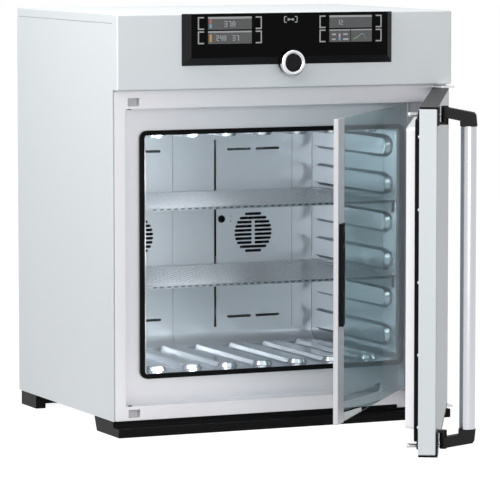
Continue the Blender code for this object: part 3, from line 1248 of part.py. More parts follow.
# Inner glass door
def make_glass_door(mats, pivot):
    """Glass pane, the profile on its free edge and the grip."""
    bm = bmesh.new()
    x0, x1 = PROFILE_EDGE_X, PROFILE_EDGE_X + PROFILE_WIDTH
    inner = x0 + PROFILE_WALL
    box(bm, inner + FIT, GLASS_HINGE_X + PANE_SIDE, PANE_FRONT, PANE_REAR, PANE_BOTTOM, PANE_TOP)
    finish("glass_pane", bm, mats["pane"], pivot)
    front, rear = PANE_FRONT - FIT, PANE_REAR + FIT
    y0, y1 = front - PROFILE_WALL, rear + PROFILE_WALL
    outline = [(x0, y0), (x1, y0), (x1, front), (inner, front), (inner, rear), (x1, rear), (x1, y1), (x0, y1)]
    bm = bmesh.new()
    prism(bm, outline, "Z", PANE_BOTTOM, PANE_TOP)
    finish("glass_profile", bm, mats["edge"], pivot, bevel=PROFILE_EDGE, segments=1)
    back = y0 - FIT
    top, step = back - GRIP_DEPTH, back - GRIP_DEPTH + GRIP_STEP
    g0, g1 = x0 + GRIP_OFFSET, x0 + GRIP_OFFSET + GRIP_WIDTH
    ridge = g0 + GRIP_RIDGE
    outline = [(g0, back), (g0, top + GRIP_CHAMFER), (g0 + GRIP_CHAMFER, top), (ridge - GRIP_STEP, top), (ridge, step),
               (g1 - GRIP_SIDE_SLOPE, step), (g1, back - GRIP_CHAMFER), (g1, back)]
    bm = bmesh.new()
    middle = RECESS_MIDDLE - GRIP_BELOW_MIDDLE
    prism(bm, outline, "Z", middle - GRIP_HEIGHT / 2, middle + GRIP_HEIGHT / 2)
    finish("glass_grip", bm, mats["black"], pivot)


def make_glass_clips(mats, pivot):
    """Clips on the pane's hinge corners, each with its pin."""
    middle = (PANE_FRONT + PANE_REAR) / 2 - CLIP_OFFSET
    right = GLASS_HINGE_X + PANE_SIDE + CLIP_BESIDE_PANE
    left = right - CLIP_WIDTH
    outline = rounded(left, right, middle - CLIP_DEPTH / 2, middle + CLIP_DEPTH / 2, CLIP_RADIUS)
    edge = PANE_TOP + CLIP_ROOF
    for name, flip in (("glass_clip_top", False), ("glass_clip_bottom", True)):
        bm, slot, pin = bmesh.new(), bmesh.new(), bmesh.new()
        prism(bm, outline, "Z", *pane_span(edge - CLIP_HEIGHT, edge, flip))
        box(slot, left - THROUGH, GLASS_HINGE_X + PANE_SIDE + FIT, PANE_FRONT - FIT, PANE_REAR + FIT,
            *pane_span(edge - CLIP_HEIGHT - THROUGH, PANE_TOP + FIT, flip))
        prism(pin, circle(GLASS_HINGE_X, GLASS_HINGE_Y, GLASS_PIN, 16), "Z",
              *pane_span(edge - OVERLAP, RECESS_TOP + SHEET - FIT, flip))
        clip = finish(name, bm, mats["steel"], pivot)
        combine(clip, slot, "pane_slot", pivot=pivot)
        combine(clip, pin, "pin", "UNION", pivot)


def pane_span(z0, z1, flip):
    """Ends of a glass door feature at the top, or mirrored to the bottom."""
    return sorted(2 * RECESS_MIDDLE - z if flip else z for z in (z0, z1))


# Shelves
def shelf_columns():
    """X positions of the hole edges across the shelf, from left to right."""
    half = CHAMBER_HALF - SHELF_GAP
    count = int((2 * half - 2 * SHELF_BORDER + SHELF_PITCH - SHELF_HOLE) / SHELF_PITCH)
    first = -(count - 1) / 2 * SHELF_PITCH
    edges = []
    for i in range(count):
        middle = first + i * SHELF_PITCH
        edges += [middle - SHELF_HOLE / 2, middle + SHELF_HOLE / 2]
    return [-half] + edges + [half]


def make_shelves(mats):
    """Perforated shelves with folded sides that stand on the wall ribs."""
    slope = (RIB_BASE - RIB_CROWN) / 2 / RIB_HEIGHT
    for name, rib in (("shelf_lower", 1), ("shelf_upper", 3)):
        top = WALL_RIBS[rib] + SHELF_RISE
        foot = WALL_RIBS[rib] + RIB_BASE / 2 - slope * SHELF_GAP + 2 * FIT
        columns = shelf_columns()
        across = [(columns[0], foot)] + [(x, top) for x in columns] + [(columns[-1], foot)]
        rows = [SHELF_FRONT]
        span = (SHELF_REAR - SHELF_FRONT - SHELF_BORDER * (SHELF_ROWS + 1)) / SHELF_ROWS
        for i in range(SHELF_ROWS):
            start = SHELF_FRONT + SHELF_BORDER + i * (span + SHELF_BORDER)
            rows += [start, start + span]
        rows.append(SHELF_REAR)
        bm = bmesh.new()
        grid = [[bm.verts.new((x, y, z)) for y in rows] for x, z in across]
        for i in range(len(across) - 1):
            for j in range(len(rows) - 1):
                if i in (0, len(across) - 2) or i % 2 or j % 2 == 0:
                    bm.faces.new((grid[i][j], grid[i + 1][j], grid[i + 1][j + 1], grid[i][j + 1]))
        for j, way in ((0, -1), (len(rows) - 1, 1)):
            lip = [bm.verts.new((x, rows[j], top - SHELF_LIP)) for x, z in across[2:-2]]
            for i in range(len(lip) - 1):
                corners = (lip[i], lip[i + 1], grid[i + 3][j], grid[i + 2][j])
                bm.faces.new(corners if way < 0 else corners[::-1])
        formed(name, bm, mats["steel"], wall=SHELF_SHEET)


def clear_scene():
    """Remove what the scene holds at the start."""
    for obj in list(bpy.data.objects):
        bpy.data.objects.remove(obj, do_unlink=True)


def main():
    """Build the whole incubator."""
    clear_scene()
    mats = make_materials()
    make_side_panels(mats)
    make_top_cover(mats)
    make_bottom_pan(mats)
    make_rear_panel(mats)
    make_front_frame(mats)
    make_fascia(mats)
    make_electronics_tray(mats)
    make_power_supply(mats)
    make_mains_inlet(mats)
    make_base_rail(mats)
    make_rear_base(mats)
    make_liner(mats)
    make_insulation(mats)
    make_chamber_seal(mats)
    make_back_panels(mats)
    make_sensor(mats)
    make_chamber_fans(mats)
    make_heat_pumps(mats)
    make_rear_fans(mats)
    make_unit_cover(mats)
    make_control_panel(mats)
    make_control_board(mats)
    make_collar(mats)
    make_dial(mats)
    door = pivot_at("outer_door_axis", (DOOR_HINGE_X, DOOR_HINGE_Y, 0.0), DOOR_OPEN)
    make_door_shell(mats, door)
    make_door_lining(mats, door)
    make_hinge_plates(mats)
    make_handle_brackets(mats, door)
    make_lever(mats, pivot_at("lever_axis", (HANDLE_X, HANDLE_Y, 0.0), 0.0, door))
    glass = pivot_at("glass_door_axis", (GLASS_HINGE_X, GLASS_HINGE_Y, 0.0), GLASS_OPEN)
    make_glass_door(mats, glass)
    make_glass_clips(mats, glass)
    make_shelves(mats)
    bpy.context.view_layer.update()


if __name__ == "__main__":
    main()
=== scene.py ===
"""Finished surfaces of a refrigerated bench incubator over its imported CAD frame.

Frame: +X to the right seen from the front, +Y to the back, +Z up, metres. The
front of the stainless door frame is y = 0 and the floor is z = 0. Both doors
stand open.
"""
import logging
import math
from contextlib import contextmanager
from dataclasses import dataclass
from enum import Enum
from typing import Callable, Iterator, Sequence

import bpy
from mathutils import Matrix, Vector


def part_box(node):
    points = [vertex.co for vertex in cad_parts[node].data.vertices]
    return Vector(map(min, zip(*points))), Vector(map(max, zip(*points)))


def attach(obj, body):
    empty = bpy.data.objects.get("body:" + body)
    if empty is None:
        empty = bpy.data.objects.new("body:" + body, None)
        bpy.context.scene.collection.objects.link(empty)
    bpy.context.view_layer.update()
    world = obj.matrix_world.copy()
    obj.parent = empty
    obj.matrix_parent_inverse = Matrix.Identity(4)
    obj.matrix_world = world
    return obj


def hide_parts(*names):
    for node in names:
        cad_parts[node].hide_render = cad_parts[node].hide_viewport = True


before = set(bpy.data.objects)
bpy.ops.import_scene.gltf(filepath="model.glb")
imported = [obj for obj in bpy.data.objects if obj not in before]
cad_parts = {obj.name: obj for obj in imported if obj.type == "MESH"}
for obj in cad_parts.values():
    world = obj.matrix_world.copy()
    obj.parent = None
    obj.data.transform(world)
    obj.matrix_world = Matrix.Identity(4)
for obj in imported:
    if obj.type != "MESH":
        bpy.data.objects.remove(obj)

Point = tuple[float, float, float]
Pair = tuple[float, float]
Outline = list[Pair]
log = logging.getLogger("incubator")

# The outer door's hinge line and the angle that it stands open by
DOOR_HINGE: Point = (0.351, -0.033, 0.0)
DOOR_ANGLE = math.radians(61.0)
# Heights of the two latch rods and of the slots that they enter
LATCHES = (("bottom", 0.0440), ("top", 0.6700))
# Points closer than these are one point: in a drawn outline, and between meshes
SAME_POINT = 1e-6
SAME_CORNER = 1e-5
# Faces of a CAD node that meet flatter than this are one face
FLAT_ANGLE = math.radians(0.6)
# Size of the plane that is merged to a chain's first point
SEED_SIZE = 0.002
# Gap that keeps a small part's foot off the sheet under it
FOOT_GAP = 0.0001


class Axis(Enum):
    """Direction that an outline is extruded along or turned about."""

    X = 0
    Y = 1
    Z = 2


def place(axis: Axis, u: float, v: float, w: float) -> Point:
    """Put in-plane coordinates u and v, in the order X, Y, Z, at distance w along an axis."""
    return {Axis.X: (w, u, v), Axis.Y: (u, w, v), Axis.Z: (u, v, w)}[axis]


def arc(u: float, v: float, radius: float, start: float, end: float, steps: int) -> Outline:
    """Points along an arc, angles in degrees."""
    turn = [math.radians(start + (end - start) * i / steps) for i in range(steps + 1)]
    return [(u + radius * math.cos(a), v + radius * math.sin(a)) for a in turn]


def slot_outline(u0: float, u1: float, v: float, width: float, steps: int = 6) -> Outline:
    """Outline of a slot with round ends from u0 to u1 at height v."""
    r = width / 2
    return arc(u1 - r, v, r, -90, 90, steps) + arc(u0 + r, v, r, 90, 270, steps)


def round_rect(u0: float, u1: float, v0: float, v1: float, radius: float, steps: int = 5) -> Outline:
    """Outline of a rectangle with round corners, anticlockwise.

    Args:
        u0: Left edge.
        u1: Right edge.
        v0: Lower edge.
        v1: Upper edge.
        radius: Radius of the corners.
        steps: Segments in each corner.

    Returns:
        The corner points.
    """
    points: Outline = []
    for u, v, start in ((u1 - radius, v0 + radius, -90), (u1 - radius, v1 - radius, 0),
                        (u0 + radius, v1 - radius, 90), (u0 + radius, v0 + radius, 180)):
        points += arc(u, v, radius, start, start + 90, steps)
    return points


def normals(points: Outline) -> Outline:
    """Unit normals along an open line.

    Args:
        points: The line, point by point.

    Returns:
        The normal at each point, to the right of the line's direction.
    """
    result: Outline = []
    for i in range(len(points)):
        a, b = points[max(i - 1, 0)], points[min(i + 1, len(points) - 1)]
        du, dv = b[0] - a[0], b[1] - a[1]
        size = math.hypot(du, dv)
        result.append((dv / size, -du / size))
    return result


# Modelling


def clear_selection() -> None:
    """Leave edit mode and deselect every object."""
    if bpy.context.object and bpy.context.object.mode != "OBJECT":
        bpy.ops.object.mode_set(mode="OBJECT")
    bpy.ops.object.select_all(action="DESELECT")


@dataclass
class Piece:
    """A mesh object under work, shaped with Blender's own operators.

    Attributes:
        obj: The object that is being shaped.
    """

    obj: bpy.types.Object

    # Starting shapes

    @classmethod
    def block(cls, name: str, low: Point, high: Point) -> "Piece":
        """Start from a cube stretched between two corners.

        Args:
            name: Object name.
            low: Corner with the lowest coordinates.
            high: The corner opposite.

        Returns:
            The block.
        """
        clear_selection()
        bpy.ops.mesh.primitive_cube_add(size=1.0, location=(Vector(low) + Vector(high)) / 2)
        piece = cls(bpy.context.object)
        piece.obj.name = name
        piece.obj.scale = Vector(high) - Vector(low)
        return piece.settle()

    @classmethod
    def chain(cls, name: str, points: Sequence[Point]) -> "Piece":
        """Draw a chain of edges by extruding one vertex from point to point.

        Args:
            name: Object name.
            points: The chain's points in order.

        Returns:
            The chain, without faces.
        """
        clear_selection()
        bpy.ops.mesh.primitive_plane_add(size=SEED_SIZE, location=points[0])
        piece = cls(bpy.context.object)
        piece.obj.name = name
        piece.settle()
        with piece.editing():
            bpy.ops.mesh.merge(type="CENTER")
            for last, point in zip(points, points[1:]):
                step = Vector(point) - Vector(last)
                bpy.ops.mesh.extrude_vertices_move(TRANSFORM_OT_translate={"value": step})
        return piece

    @classmethod
    def plate(cls, name: str, outline: Outline, axis: Axis, start: float, end: float) -> "Piece":
        """Draw an outline, fill it and extrude it along an axis.

        Args:
            name: Object name.
            outline: Corner points in the plane across the axis.
            axis: Axis of the extrusion.
            start: Where the plate starts on the axis.
            end: Where it ends; a sheet without thickness where that is the start.

        Returns:
            The plate, closed and with its faces outwards.
        """
        piece = cls.chain(name, [place(axis, u, v, start) for u, v in outline + outline[:1]])
        with piece.editing():
            bpy.ops.mesh.remove_doubles(threshold=SAME_POINT)
            bpy.ops.mesh.select_all(action="SELECT")
            bpy.ops.mesh.edge_face_add()
            if end != start:
                away = Vector(place(axis, 0.0, 0.0, end - start))
                bpy.ops.mesh.extrude_region_move(TRANSFORM_OT_translate={"value": away})
                bpy.ops.mesh.select_all(action="SELECT")
                bpy.ops.mesh.normals_make_consistent(inside=False)
        return piece

    @classmethod
    def turned(cls, name: str, profile: Outline, axis: Axis, u: float, v: float, steps: int = 48,
               closed: bool = False) -> "Piece":
        """Spin a profile of (radius, distance) pairs about an axis through u, v.

        Args:
            name: Object name.
            profile: Radius and distance along the axis, point by point.
            axis: Axis of the spin.
            u: First coordinate of the axis across its direction.
            v: Second coordinate.
            steps: Number of segments round the axis.
            closed: Whether the profile closes on itself, as a ring's does.

        Returns:
            The turned piece.
        """
        points = [place(axis, u + radius, v, w) for radius, w in profile]
        piece = cls.chain(name, points + points[:1] if closed else points)
        direction = place(axis, 0.0, 0.0, 1.0)
        with piece.editing():
            bpy.ops.mesh.spin(steps=steps, angle=2 * math.pi, center=place(axis, u, v, 0.0), axis=direction)
            bpy.ops.mesh.select_all(action="SELECT")
            bpy.ops.mesh.remove_doubles(threshold=SAME_POINT)
            bpy.ops.mesh.normals_make_consistent(inside=False)
        return piece

    @classmethod
    def pierced(cls, name: str, outlines: Sequence[Outline], axis: Axis, level: float) -> "Piece":
        """Fill a flat sheet between an outer outline and the holes inside it.

        Args:
            name: Object name.
            outlines: The outer outline first, then the holes.
            axis: Axis across the sheet.
            level: Where the sheet lies on it.

        Returns:
            The sheet as an open skin.
        """
        chains = [cls.chain(name, [place(axis, u, v, level) for u, v in outline + outline[:1]])
                  for outline in outlines]
        piece = chains[0].join(*chains[1:])
        with piece.editing():
            bpy.ops.mesh.remove_doubles(threshold=SAME_POINT)
            bpy.ops.mesh.select_all(action="SELECT")
            bpy.ops.mesh.fill(use_beauty=True)
        return piece

    @classmethod
    def of_node(cls, node: str) -> "Piece":
        """Copy a CAD node, merge its loose triangles and dissolve the flat ones.

        Args:
            node: The CAD node's name.

        Returns:
            The copy, without a material.
        """
        clear_selection()
        obj = bpy.data.objects.new(node + "_finish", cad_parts[node].data.copy())
        bpy.context.collection.objects.link(obj)
        piece = cls(obj)
        with piece.editing():
            bpy.ops.mesh.remove_doubles(threshold=SAME_CORNER)
            bpy.ops.mesh.dissolve_limited(angle_limit=FLAT_ANGLE)
        obj.data.materials.clear()
        return piece

    # Shaping

    def activate(self) -> None:
        """Make this the only selected object."""
        clear_selection()
        self.obj.select_set(True)
        bpy.context.view_layer.objects.active = self.obj

    @contextmanager
    def editing(self) -> Iterator["Piece"]:
        """Edit mode with everything selected, and object mode after it.

        Returns:
            A context that gives the piece itself.
        """
        self.activate()
        bpy.ops.object.mode_set(mode="EDIT")
        bpy.ops.mesh.select_mode(type="VERT")
        bpy.ops.mesh.select_all(action="SELECT")
        try:
            yield self
        finally:
            bpy.ops.object.mode_set(mode="OBJECT")

    def settle(self) -> "Piece":
        """Apply place, turn and scale to the mesh.

        Returns:
            The piece itself.
        """
        self.activate()
        bpy.ops.object.transform_apply(location=True, rotation=True, scale=True)
        return self

    def pick(self, test: Callable[[Vector, Vector], bool], edges: bool = False) -> None:
        """Enter edit mode with the faces or edges that pass a test selected.

        Args:
            test: Is given a face's centre and normal, or an edge's two ends.
            edges: Whether edges are picked instead of faces.
        """
        with self.editing():
            bpy.ops.mesh.select_mode(type="EDGE" if edges else "FACE")
            bpy.ops.mesh.select_all(action="DESELECT")
        mesh = self.obj.data
        for item in (mesh.edges if edges else mesh.polygons):
            ends = [mesh.vertices[i].co for i in item.vertices] if edges else (item.center, item.normal)
            item.select = test(*ends)
        bpy.ops.object.mode_set(mode="EDIT")

    def apply(self, kind: str, **settings: object) -> "Piece":
        """Add a modifier and apply it.

        Args:
            kind: Modifier type.
            settings: Properties of the modifier.

        Returns:
            The piece itself.
        """
        self.activate()
        mod = self.obj.modifiers.new(kind.lower(), kind)
        for key, value in settings.items():
            setattr(mod, key, value)
        bpy.ops.object.modifier_apply(modifier=mod.name)
        return self

    def repeat(self, count: int, step: Point, merge: float = 0.0) -> "Piece":
        """Repeat the mesh in a row; copies that meet within the merge distance grow together."""
        return self.apply("ARRAY", count=count, use_relative_offset=False, use_constant_offset=True,
                          constant_offset_displace=step, use_merge_vertices=merge > 0, merge_threshold=merge)

    def round_edges(self, width: float, segments: int = 2, angle: float = 30.0) -> "Piece":
        """Round every edge sharper than an angle."""
        return self.apply("BEVEL", width=width, segments=segments, limit_method="ANGLE",
                          angle_limit=math.radians(angle), miter_outer="MITER_ARC")

    def carve(self, *tools: "Piece") -> "Piece":
        """Cut tool pieces out of this one and remove them.

        Args:
            tools: The pieces to cut out.

        Returns:
            The piece itself.
        """
        tool = tools[0].join(*tools[1:]) if len(tools) > 1 else tools[0]
        self.apply("BOOLEAN", object=tool.obj, operation="DIFFERENCE", solver="EXACT")
        tool.discard()
        return self

    def join(self, *others: "Piece") -> "Piece":
        """Join other pieces' meshes into this object.

        Args:
            others: The pieces that become part of this one.

        Returns:
            The piece itself.
        """
        self.activate()
        for other in others:
            other.obj.select_set(True)
        bpy.ops.object.join()
        return self

    def copy(self, name: str, offset: Point) -> "Piece":
        """Copy the piece with a mesh of its own.

        Args:
            name: Name of the copy.
            offset: How far the copy is moved.

        Returns:
            The copy.
        """
        obj = self.obj.copy()
        obj.data = self.obj.data.copy()
        obj.name = name
        bpy.context.collection.objects.link(obj)
        obj.location = offset
        return Piece(obj).settle()

    def spread(self, offsets: Sequence[Point]) -> "list[Piece]":
        """Put a copy at each offset and remove the piece itself.

        Args:
            offsets: How far each copy is moved.

        Returns:
            The copies.
        """
        copies = [self.copy("copy", offset) for offset in offsets]
        self.discard()
        return copies

    def discard(self) -> None:
        """Remove the piece's object."""
        bpy.data.objects.remove(self.obj, do_unlink=True)

    def swing(self) -> "Piece":
        """Turn a piece made for the shut outer door to where that door stands open.

        Returns:
            The piece itself.
        """
        pivot = Matrix.Translation(DOOR_HINGE)
        turn = pivot @ Matrix.Rotation(DOOR_ANGLE, 4, "Z") @ pivot.inverted()
        self.obj.matrix_world = turn @ self.obj.matrix_world
        return self.settle()

    def smooth(self, angle: float = 35.0, weighted: bool = True) -> "Piece":
        """Shade smooth up to an angle.

        Args:
            angle: Edges sharper than this stay sharp.
            weighted: Whether big faces are kept flat.

        Returns:
            The piece itself.
        """
        self.activate()
        bpy.ops.object.shade_smooth_by_angle(angle=math.radians(angle))
        return self.apply("WEIGHTED_NORMAL", keep_sharp=True) if weighted else self

    # Handing over

    def dress(self, finish: "Finish", body: str, *nodes: str) -> "Piece":
        """Give the piece its finish, its body and the CAD nodes it stands for.

        Args:
            finish: The finish that covers it.
            body: Name of the CAD body that it rides on.
            nodes: CAD nodes that it replaces.

        Returns:
            The piece itself.
        """
        self.obj.data.materials.clear()
        self.obj.data.materials.append(finish.material())
        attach(self.obj, body)
        if nodes:
            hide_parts(*nodes)
        log.info("%s: %d faces on %s", self.obj.name, len(self.obj.data.polygons), body)
        return self


def paint(finish: "Finish", *nodes: str) -> None:
    """Give CAD nodes that stay as they are their finish.

    Args:
        finish: The finish.
        nodes: The CAD nodes' names.
    """
    for node in nodes:
        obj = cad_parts[node]
        if not obj.material_slots:
            obj.data.materials.append(None)
        for slot in obj.material_slots:
            slot.material = finish.material()
        log.info("%s: finished as %s", node, finish.name)


def refine(finish: "Finish", body: str, *nodes: str, width: float = 0.0004, segments: int = 2,
           angle: float = 30.0) -> None:
    """Stand copies with rounded edges in for CAD nodes.

    Args:
        finish: Their finish.
        body: The CAD body that they belong to.
        nodes: The CAD nodes' names.
        width: Width of the rounding.
        segments: Segments in the rounding.
        angle: Edges flatter than this stay as they are.
    """
    for node in nodes:
        Piece.of_node(node).round_edges(width, segments, angle).smooth().dress(finish, body, node)


# Screws. The head's profile is in shares of its radius and height. So is the cross recess: its
# reach and half width in radii, and the heights of its floor and of the tool's top.
HEAD_PROFILE = ((0.0, 0.0), (1.0, 0.0), (1.0, 0.35), (0.86, 0.72), (0.55, 0.94), (0.0, 1.0))
RECESS_REACH, RECESS_HALF, RECESS_FLOOR, RECESS_TOP = 0.62, 0.12, 0.45, 1.5


def dome_screw(name: str, radius: float, height: float) -> Piece:
    """Dome-head screw with a cross recess, at the origin, its top towards +Y.

    Args:
        name: Object name.
        radius: Radius of the head.
        height: Height of the head.

    Returns:
        The screw head.
    """
    head = Piece.turned(name, [(radius * u, height * v) for u, v in HEAD_PROFILE], Axis.Y, 0.0, 0.0, 20)
    reach, half = radius * RECESS_REACH, radius * RECESS_HALF
    y0, y1 = height * RECESS_FLOOR, height * RECESS_TOP
    for u, v in ((reach, half), (half, reach)):
        head.carve(Piece.block("cross", (-u, y0, -v), (u, y1, v)))
    return head


def screw_set(name: str, spots: Sequence[Point], radius: float, height: float) -> Piece:
    """Dome screws at several places as one piece.

    Args:
        name: Object name.
        spots: Middle of each screw's foot.
        radius: Radius of the heads.
        height: Height of the heads.

    Returns:
        The joined screws.
    """
    heads = dome_screw("first_screw", radius, height).spread(spots)
    screws = heads[0].join(*heads[1:])
    screws.obj.name = name
    return screws


# Finishes


# Values between which nearly all of the noise lies, and how much its finer layers count
NOISE_RANGE = (0.3, 0.7)
NOISE_ROUGHNESS = 0.6
# Patches per metre of the slow drift in colour
DRIFT_SCALE = 3.0
WHITE = (1.0, 1.0, 1.0, 1.0)


def linear(colour: str) -> tuple[float, ...]:
    """Turn an sRGB hex colour into linear values with an alpha of 1."""
    parts = [int(colour[i:i + 2], 16) / 255 for i in (1, 3, 5)]
    return tuple(c / 12.92 if c <= 0.04045 else ((c + 0.055) / 1.055) ** 2.4 for c in parts) + (1.0,)


def even(size: float) -> Point:
    """The same size along every axis."""
    return size, size, size


def add_node(tree: bpy.types.NodeTree, kind: str, links: dict | None = None,
             **settings: object) -> bpy.types.Node:
    """Add a node, set its properties, and set or link its sockets.

    Args:
        tree: The node tree.
        kind: Node type.
        links: Socket name or number to a value or to an output socket.
        settings: Properties of the node.

    Returns:
        The new node.
    """
    node = tree.nodes.new(kind)
    for key, value in settings.items():
        setattr(node, key, value)
    for socket, value in (links or {}).items():
        if isinstance(value, bpy.types.NodeSocket):
            tree.links.new(value, node.inputs[socket])
        else:
            node.inputs[socket].default_value = value
    return node


@dataclass(frozen=True)
class Finish:
    """A finish: its material's shader values and the grain of its surface.

    Attributes:
        name: Material name.
        colour: Base colour as sRGB hex.
        slot: Material slot of the record that it belongs to; not used.
        roughness: Roughness of the surface.
        metallic: 1 for bare metal, less where a film or a coat covers it.
        grain_mm: Size of the surface grain along X, Y and Z.
        variation: How far the grain lightens and darkens the colour.
        roughness_variation: How far the grain changes the roughness.
        relief_mm: Height of the grain.
        specular: Strength of the reflection where the surface isn't metal.
        detail: Noise detail.
    """

    name: str
    colour: str
    slot: str
    roughness: float
    metallic: float = 0.0
    grain_mm: Point = (1.0, 1.0, 1.0)
    variation: float = 0.04
    roughness_variation: float = 0.06
    relief_mm: float = 0.01
    specular: float = 0.5
    detail: float = 3.0

    def grain(self, tree: bpy.types.NodeTree) -> bpy.types.NodeSocket:
        """Noise stretched to the grain's size in object coordinates.

        Args:
            tree: The material's node tree.

        Returns:
            The noise's output.
        """
        where = add_node(tree, "ShaderNodeTexCoord")
        scale = tuple(1000.0 / mm for mm in self.grain_mm)
        stretch = add_node(tree, "ShaderNodeMapping", {"Vector": where.outputs["Object"], "Scale": scale})
        return add_node(tree, "ShaderNodeTexNoise", {
            "Vector": stretch.outputs["Vector"], "Scale": 1.0, "Detail": self.detail,
            "Roughness": NOISE_ROUGHNESS}).outputs["Fac"]

    def tint(self, tree: bpy.types.NodeTree, grain: bpy.types.NodeSocket) -> bpy.types.NodeSocket:
        """Base colour, made lighter and darker by the grain and by a slow drift.

        Args:
            tree: The material's node tree.
            grain: The grain's output.

        Returns:
            The colour's output.
        """
        where = add_node(tree, "ShaderNodeTexCoord")
        drift = add_node(tree, "ShaderNodeTexNoise", {
            "Vector": where.outputs["Object"], "Scale": DRIFT_SCALE, "Detail": 1.0})
        both = add_node(tree, "ShaderNodeMath", {0: grain, 1: drift.outputs["Fac"]}, operation="ADD")
        share = add_node(tree, "ShaderNodeMapRange", {
            "Value": both.outputs[0], "From Min": 2 * NOISE_RANGE[0], "From Max": 2 * NOISE_RANGE[1]})
        ramp = add_node(tree, "ShaderNodeValToRGB", {"Fac": share.outputs[0]})
        base = linear(self.colour)[:3]
        for end, gain in enumerate((1 - self.variation, 1 + self.variation)):
            ramp.color_ramp.elements[end].color = [min(1.0, c * gain) for c in base] + [1.0]
        return ramp.outputs["Color"]

    def cover(self, tree: bpy.types.NodeTree, shader: bpy.types.Node) -> None:
        """Link the grain to the shader's colour, roughness and relief.

        Args:
            tree: The material's node tree.
            shader: Its Principled shader.
        """
        grain = self.grain(tree)
        tree.links.new(self.tint(tree, grain), shader.inputs["Base Color"])
        half = self.roughness_variation / 2
        rough = add_node(tree, "ShaderNodeMapRange", {
            "Value": grain, "From Min": NOISE_RANGE[0], "From Max": NOISE_RANGE[1],
            "To Min": max(0.0, self.roughness - half), "To Max": self.roughness + half})
        tree.links.new(rough.outputs[0], shader.inputs["Roughness"])
        if self.relief_mm:
            bump = add_node(tree, "ShaderNodeBump", {"Height": grain, "Strength": 1.0,
                                                     "Distance": self.relief_mm / 1000})
            tree.links.new(bump.outputs["Normal"], shader.inputs["Normal"])

    def material(self) -> bpy.types.Material:
        """Build the material once and return it after that.

        Returns:
            The material.
        """
        mat = bpy.data.materials.get(self.name)
        if mat is None:
            mat = bpy.data.materials.new(self.name)
            mat.use_nodes = True
            shader = mat.node_tree.nodes["Principled BSDF"]
            shader.inputs["Metallic"].default_value = self.metallic
            shader.inputs["Specular IOR Level"].default_value = self.specular
            self.cover(mat.node_tree, shader)
        return mat


@dataclass(frozen=True)
class Pane(Finish):
    """Tempered glass: one even tint, clear right through and without grain.

    Attributes:
        ior: Refractive index of the glass.
    """

    ior: float = 1.5

    def cover(self, tree: bpy.types.NodeTree, shader: bpy.types.Node) -> None:
        """Set the glass's even values on the shader.

        Args:
            tree: The material's node tree, which gets no node.
            shader: Its Principled shader.
        """
        for socket, value in (("Base Color", linear(self.colour)), ("Roughness", self.roughness),
                              ("Transmission Weight", 1.0), ("IOR", self.ior)):
            shader.inputs[socket].default_value = value


@dataclass(frozen=True)
class PanelPrint(Finish):
    """Print and lit pixels behind glass: flat, with a faint unevenness."""

    slot: str = "screen"
    roughness: float = 0.2
    grain_mm: Point = (2.0, 2.0, 2.0)
    roughness_variation: float = 0.02
    relief_mm: float = 0.0


# Structured stainless sheet: pale, slightly blue, with a fine pebble that blurs reflections. The
# real pebble is finer than 1 mm and is drawn at 1.6 mm so that it shows.
STRUCTURED_SHEET = Finish("structured_stainless_sheet", "#DDE2E5", "coat", 0.5, 0.2, even(1.6), 0.02, 0.05,
                          0.02, 0.25)
DOOR_SHEET = Finish("structured_door_sheet", "#D9DEE1", "coat", 0.5, 0.2, even(1.6), 0.02, 0.05, 0.02, 0.25)
# Ground stainless: long fine scratches along X that stretch highlights upwards.
GROUND_STEEL = Finish("ground_stainless_steel", "#E9E8EC", "steel", 0.38, 0.6, (60.0, 0.8, 0.8), 0.03, 0.08,
                      0.003)
# Electropolished sheet: a soft sheen without direction, darker than the walls round it.
SHELF_STEEL = Finish("electropolished_shelf_steel", "#A2A7AD", "steel", 0.3, 0.6, even(3.0), 0.05, 0.1, 0.004)
# Zinc-plated steel of the back, the screws and the rods: bright grey with a faint bloom.
DARK_STEEL = Finish("zinc_plated_steel", "#B9BBBE", "steel", 0.38, 1.0, even(2.0), 0.05, 0.1, 0.004)
# Cold-rolled chamber steel: smoother, so it mirrors the ribs softly.
CHAMBER_STEEL = Finish("bright_rolled_chamber_steel", "#D3D9DF", "chamber", 0.2, 0.85, (1.2, 40.0, 1.2), 0.02,
                       0.03, 0.0004)
# Brushed steel of the back panels: upright lines that spread the chamber's light evenly.
BACK_STEEL = Finish("brushed_back_panel_steel", "#DDE2E7", "chamber", 0.3, 0.45, (1.2, 1.2, 60.0), 0.01, 0.02,
                    0.0002)
# Moulded ABS with a fine spark-eroded grain; the bezel's is finer and shines more.
BLACK_ABS = Finish("black_moulded_abs", "#0E0E0F", "black", 0.42, 0.0, even(0.9), 0.12, 0.08, 0.02, 0.08)
BEZEL_ABS = Finish("satin_bezel_abs", "#18181A", "black", 0.34, 0.0, even(0.7), 0.06, 0.06, 0.008, 0.14)
# Glass-filled nylon: fibres near the moulded surface make it matt and mottled.
GLASS_FILLED_NYLON = Finish("glass_filled_nylon", "#0F0F10", "black", 0.5, 0.0, even(0.8), 0.12, 0.08, 0.02,
                            0.2)
# Painted shade: a dark grey that stands for the shade in the shelf slots and along the back panel's fold
# line.
SLOT_SHADE = Finish("painted_slot_shade", "#4A4F55", "steel", 0.6, 0.4, even(0.8), 0.05, 0.05, 0.002)
# Machined white acetal: dense and waxy.
KEEPER_PLASTIC = Finish("white_acetal_keeper", "#DEDEE0", "steel", 0.4, 0.0, even(0.8), 0.02, 0.05, 0.004)
# Extruded silicone: matt black, so it shows as a plain dark line.
SILICONE = Finish("black_silicone_seal", "#0A0B0C", "rubber", 0.6, 0.0, even(1.0), 0.1, 0.08, 0.01, 0.08)
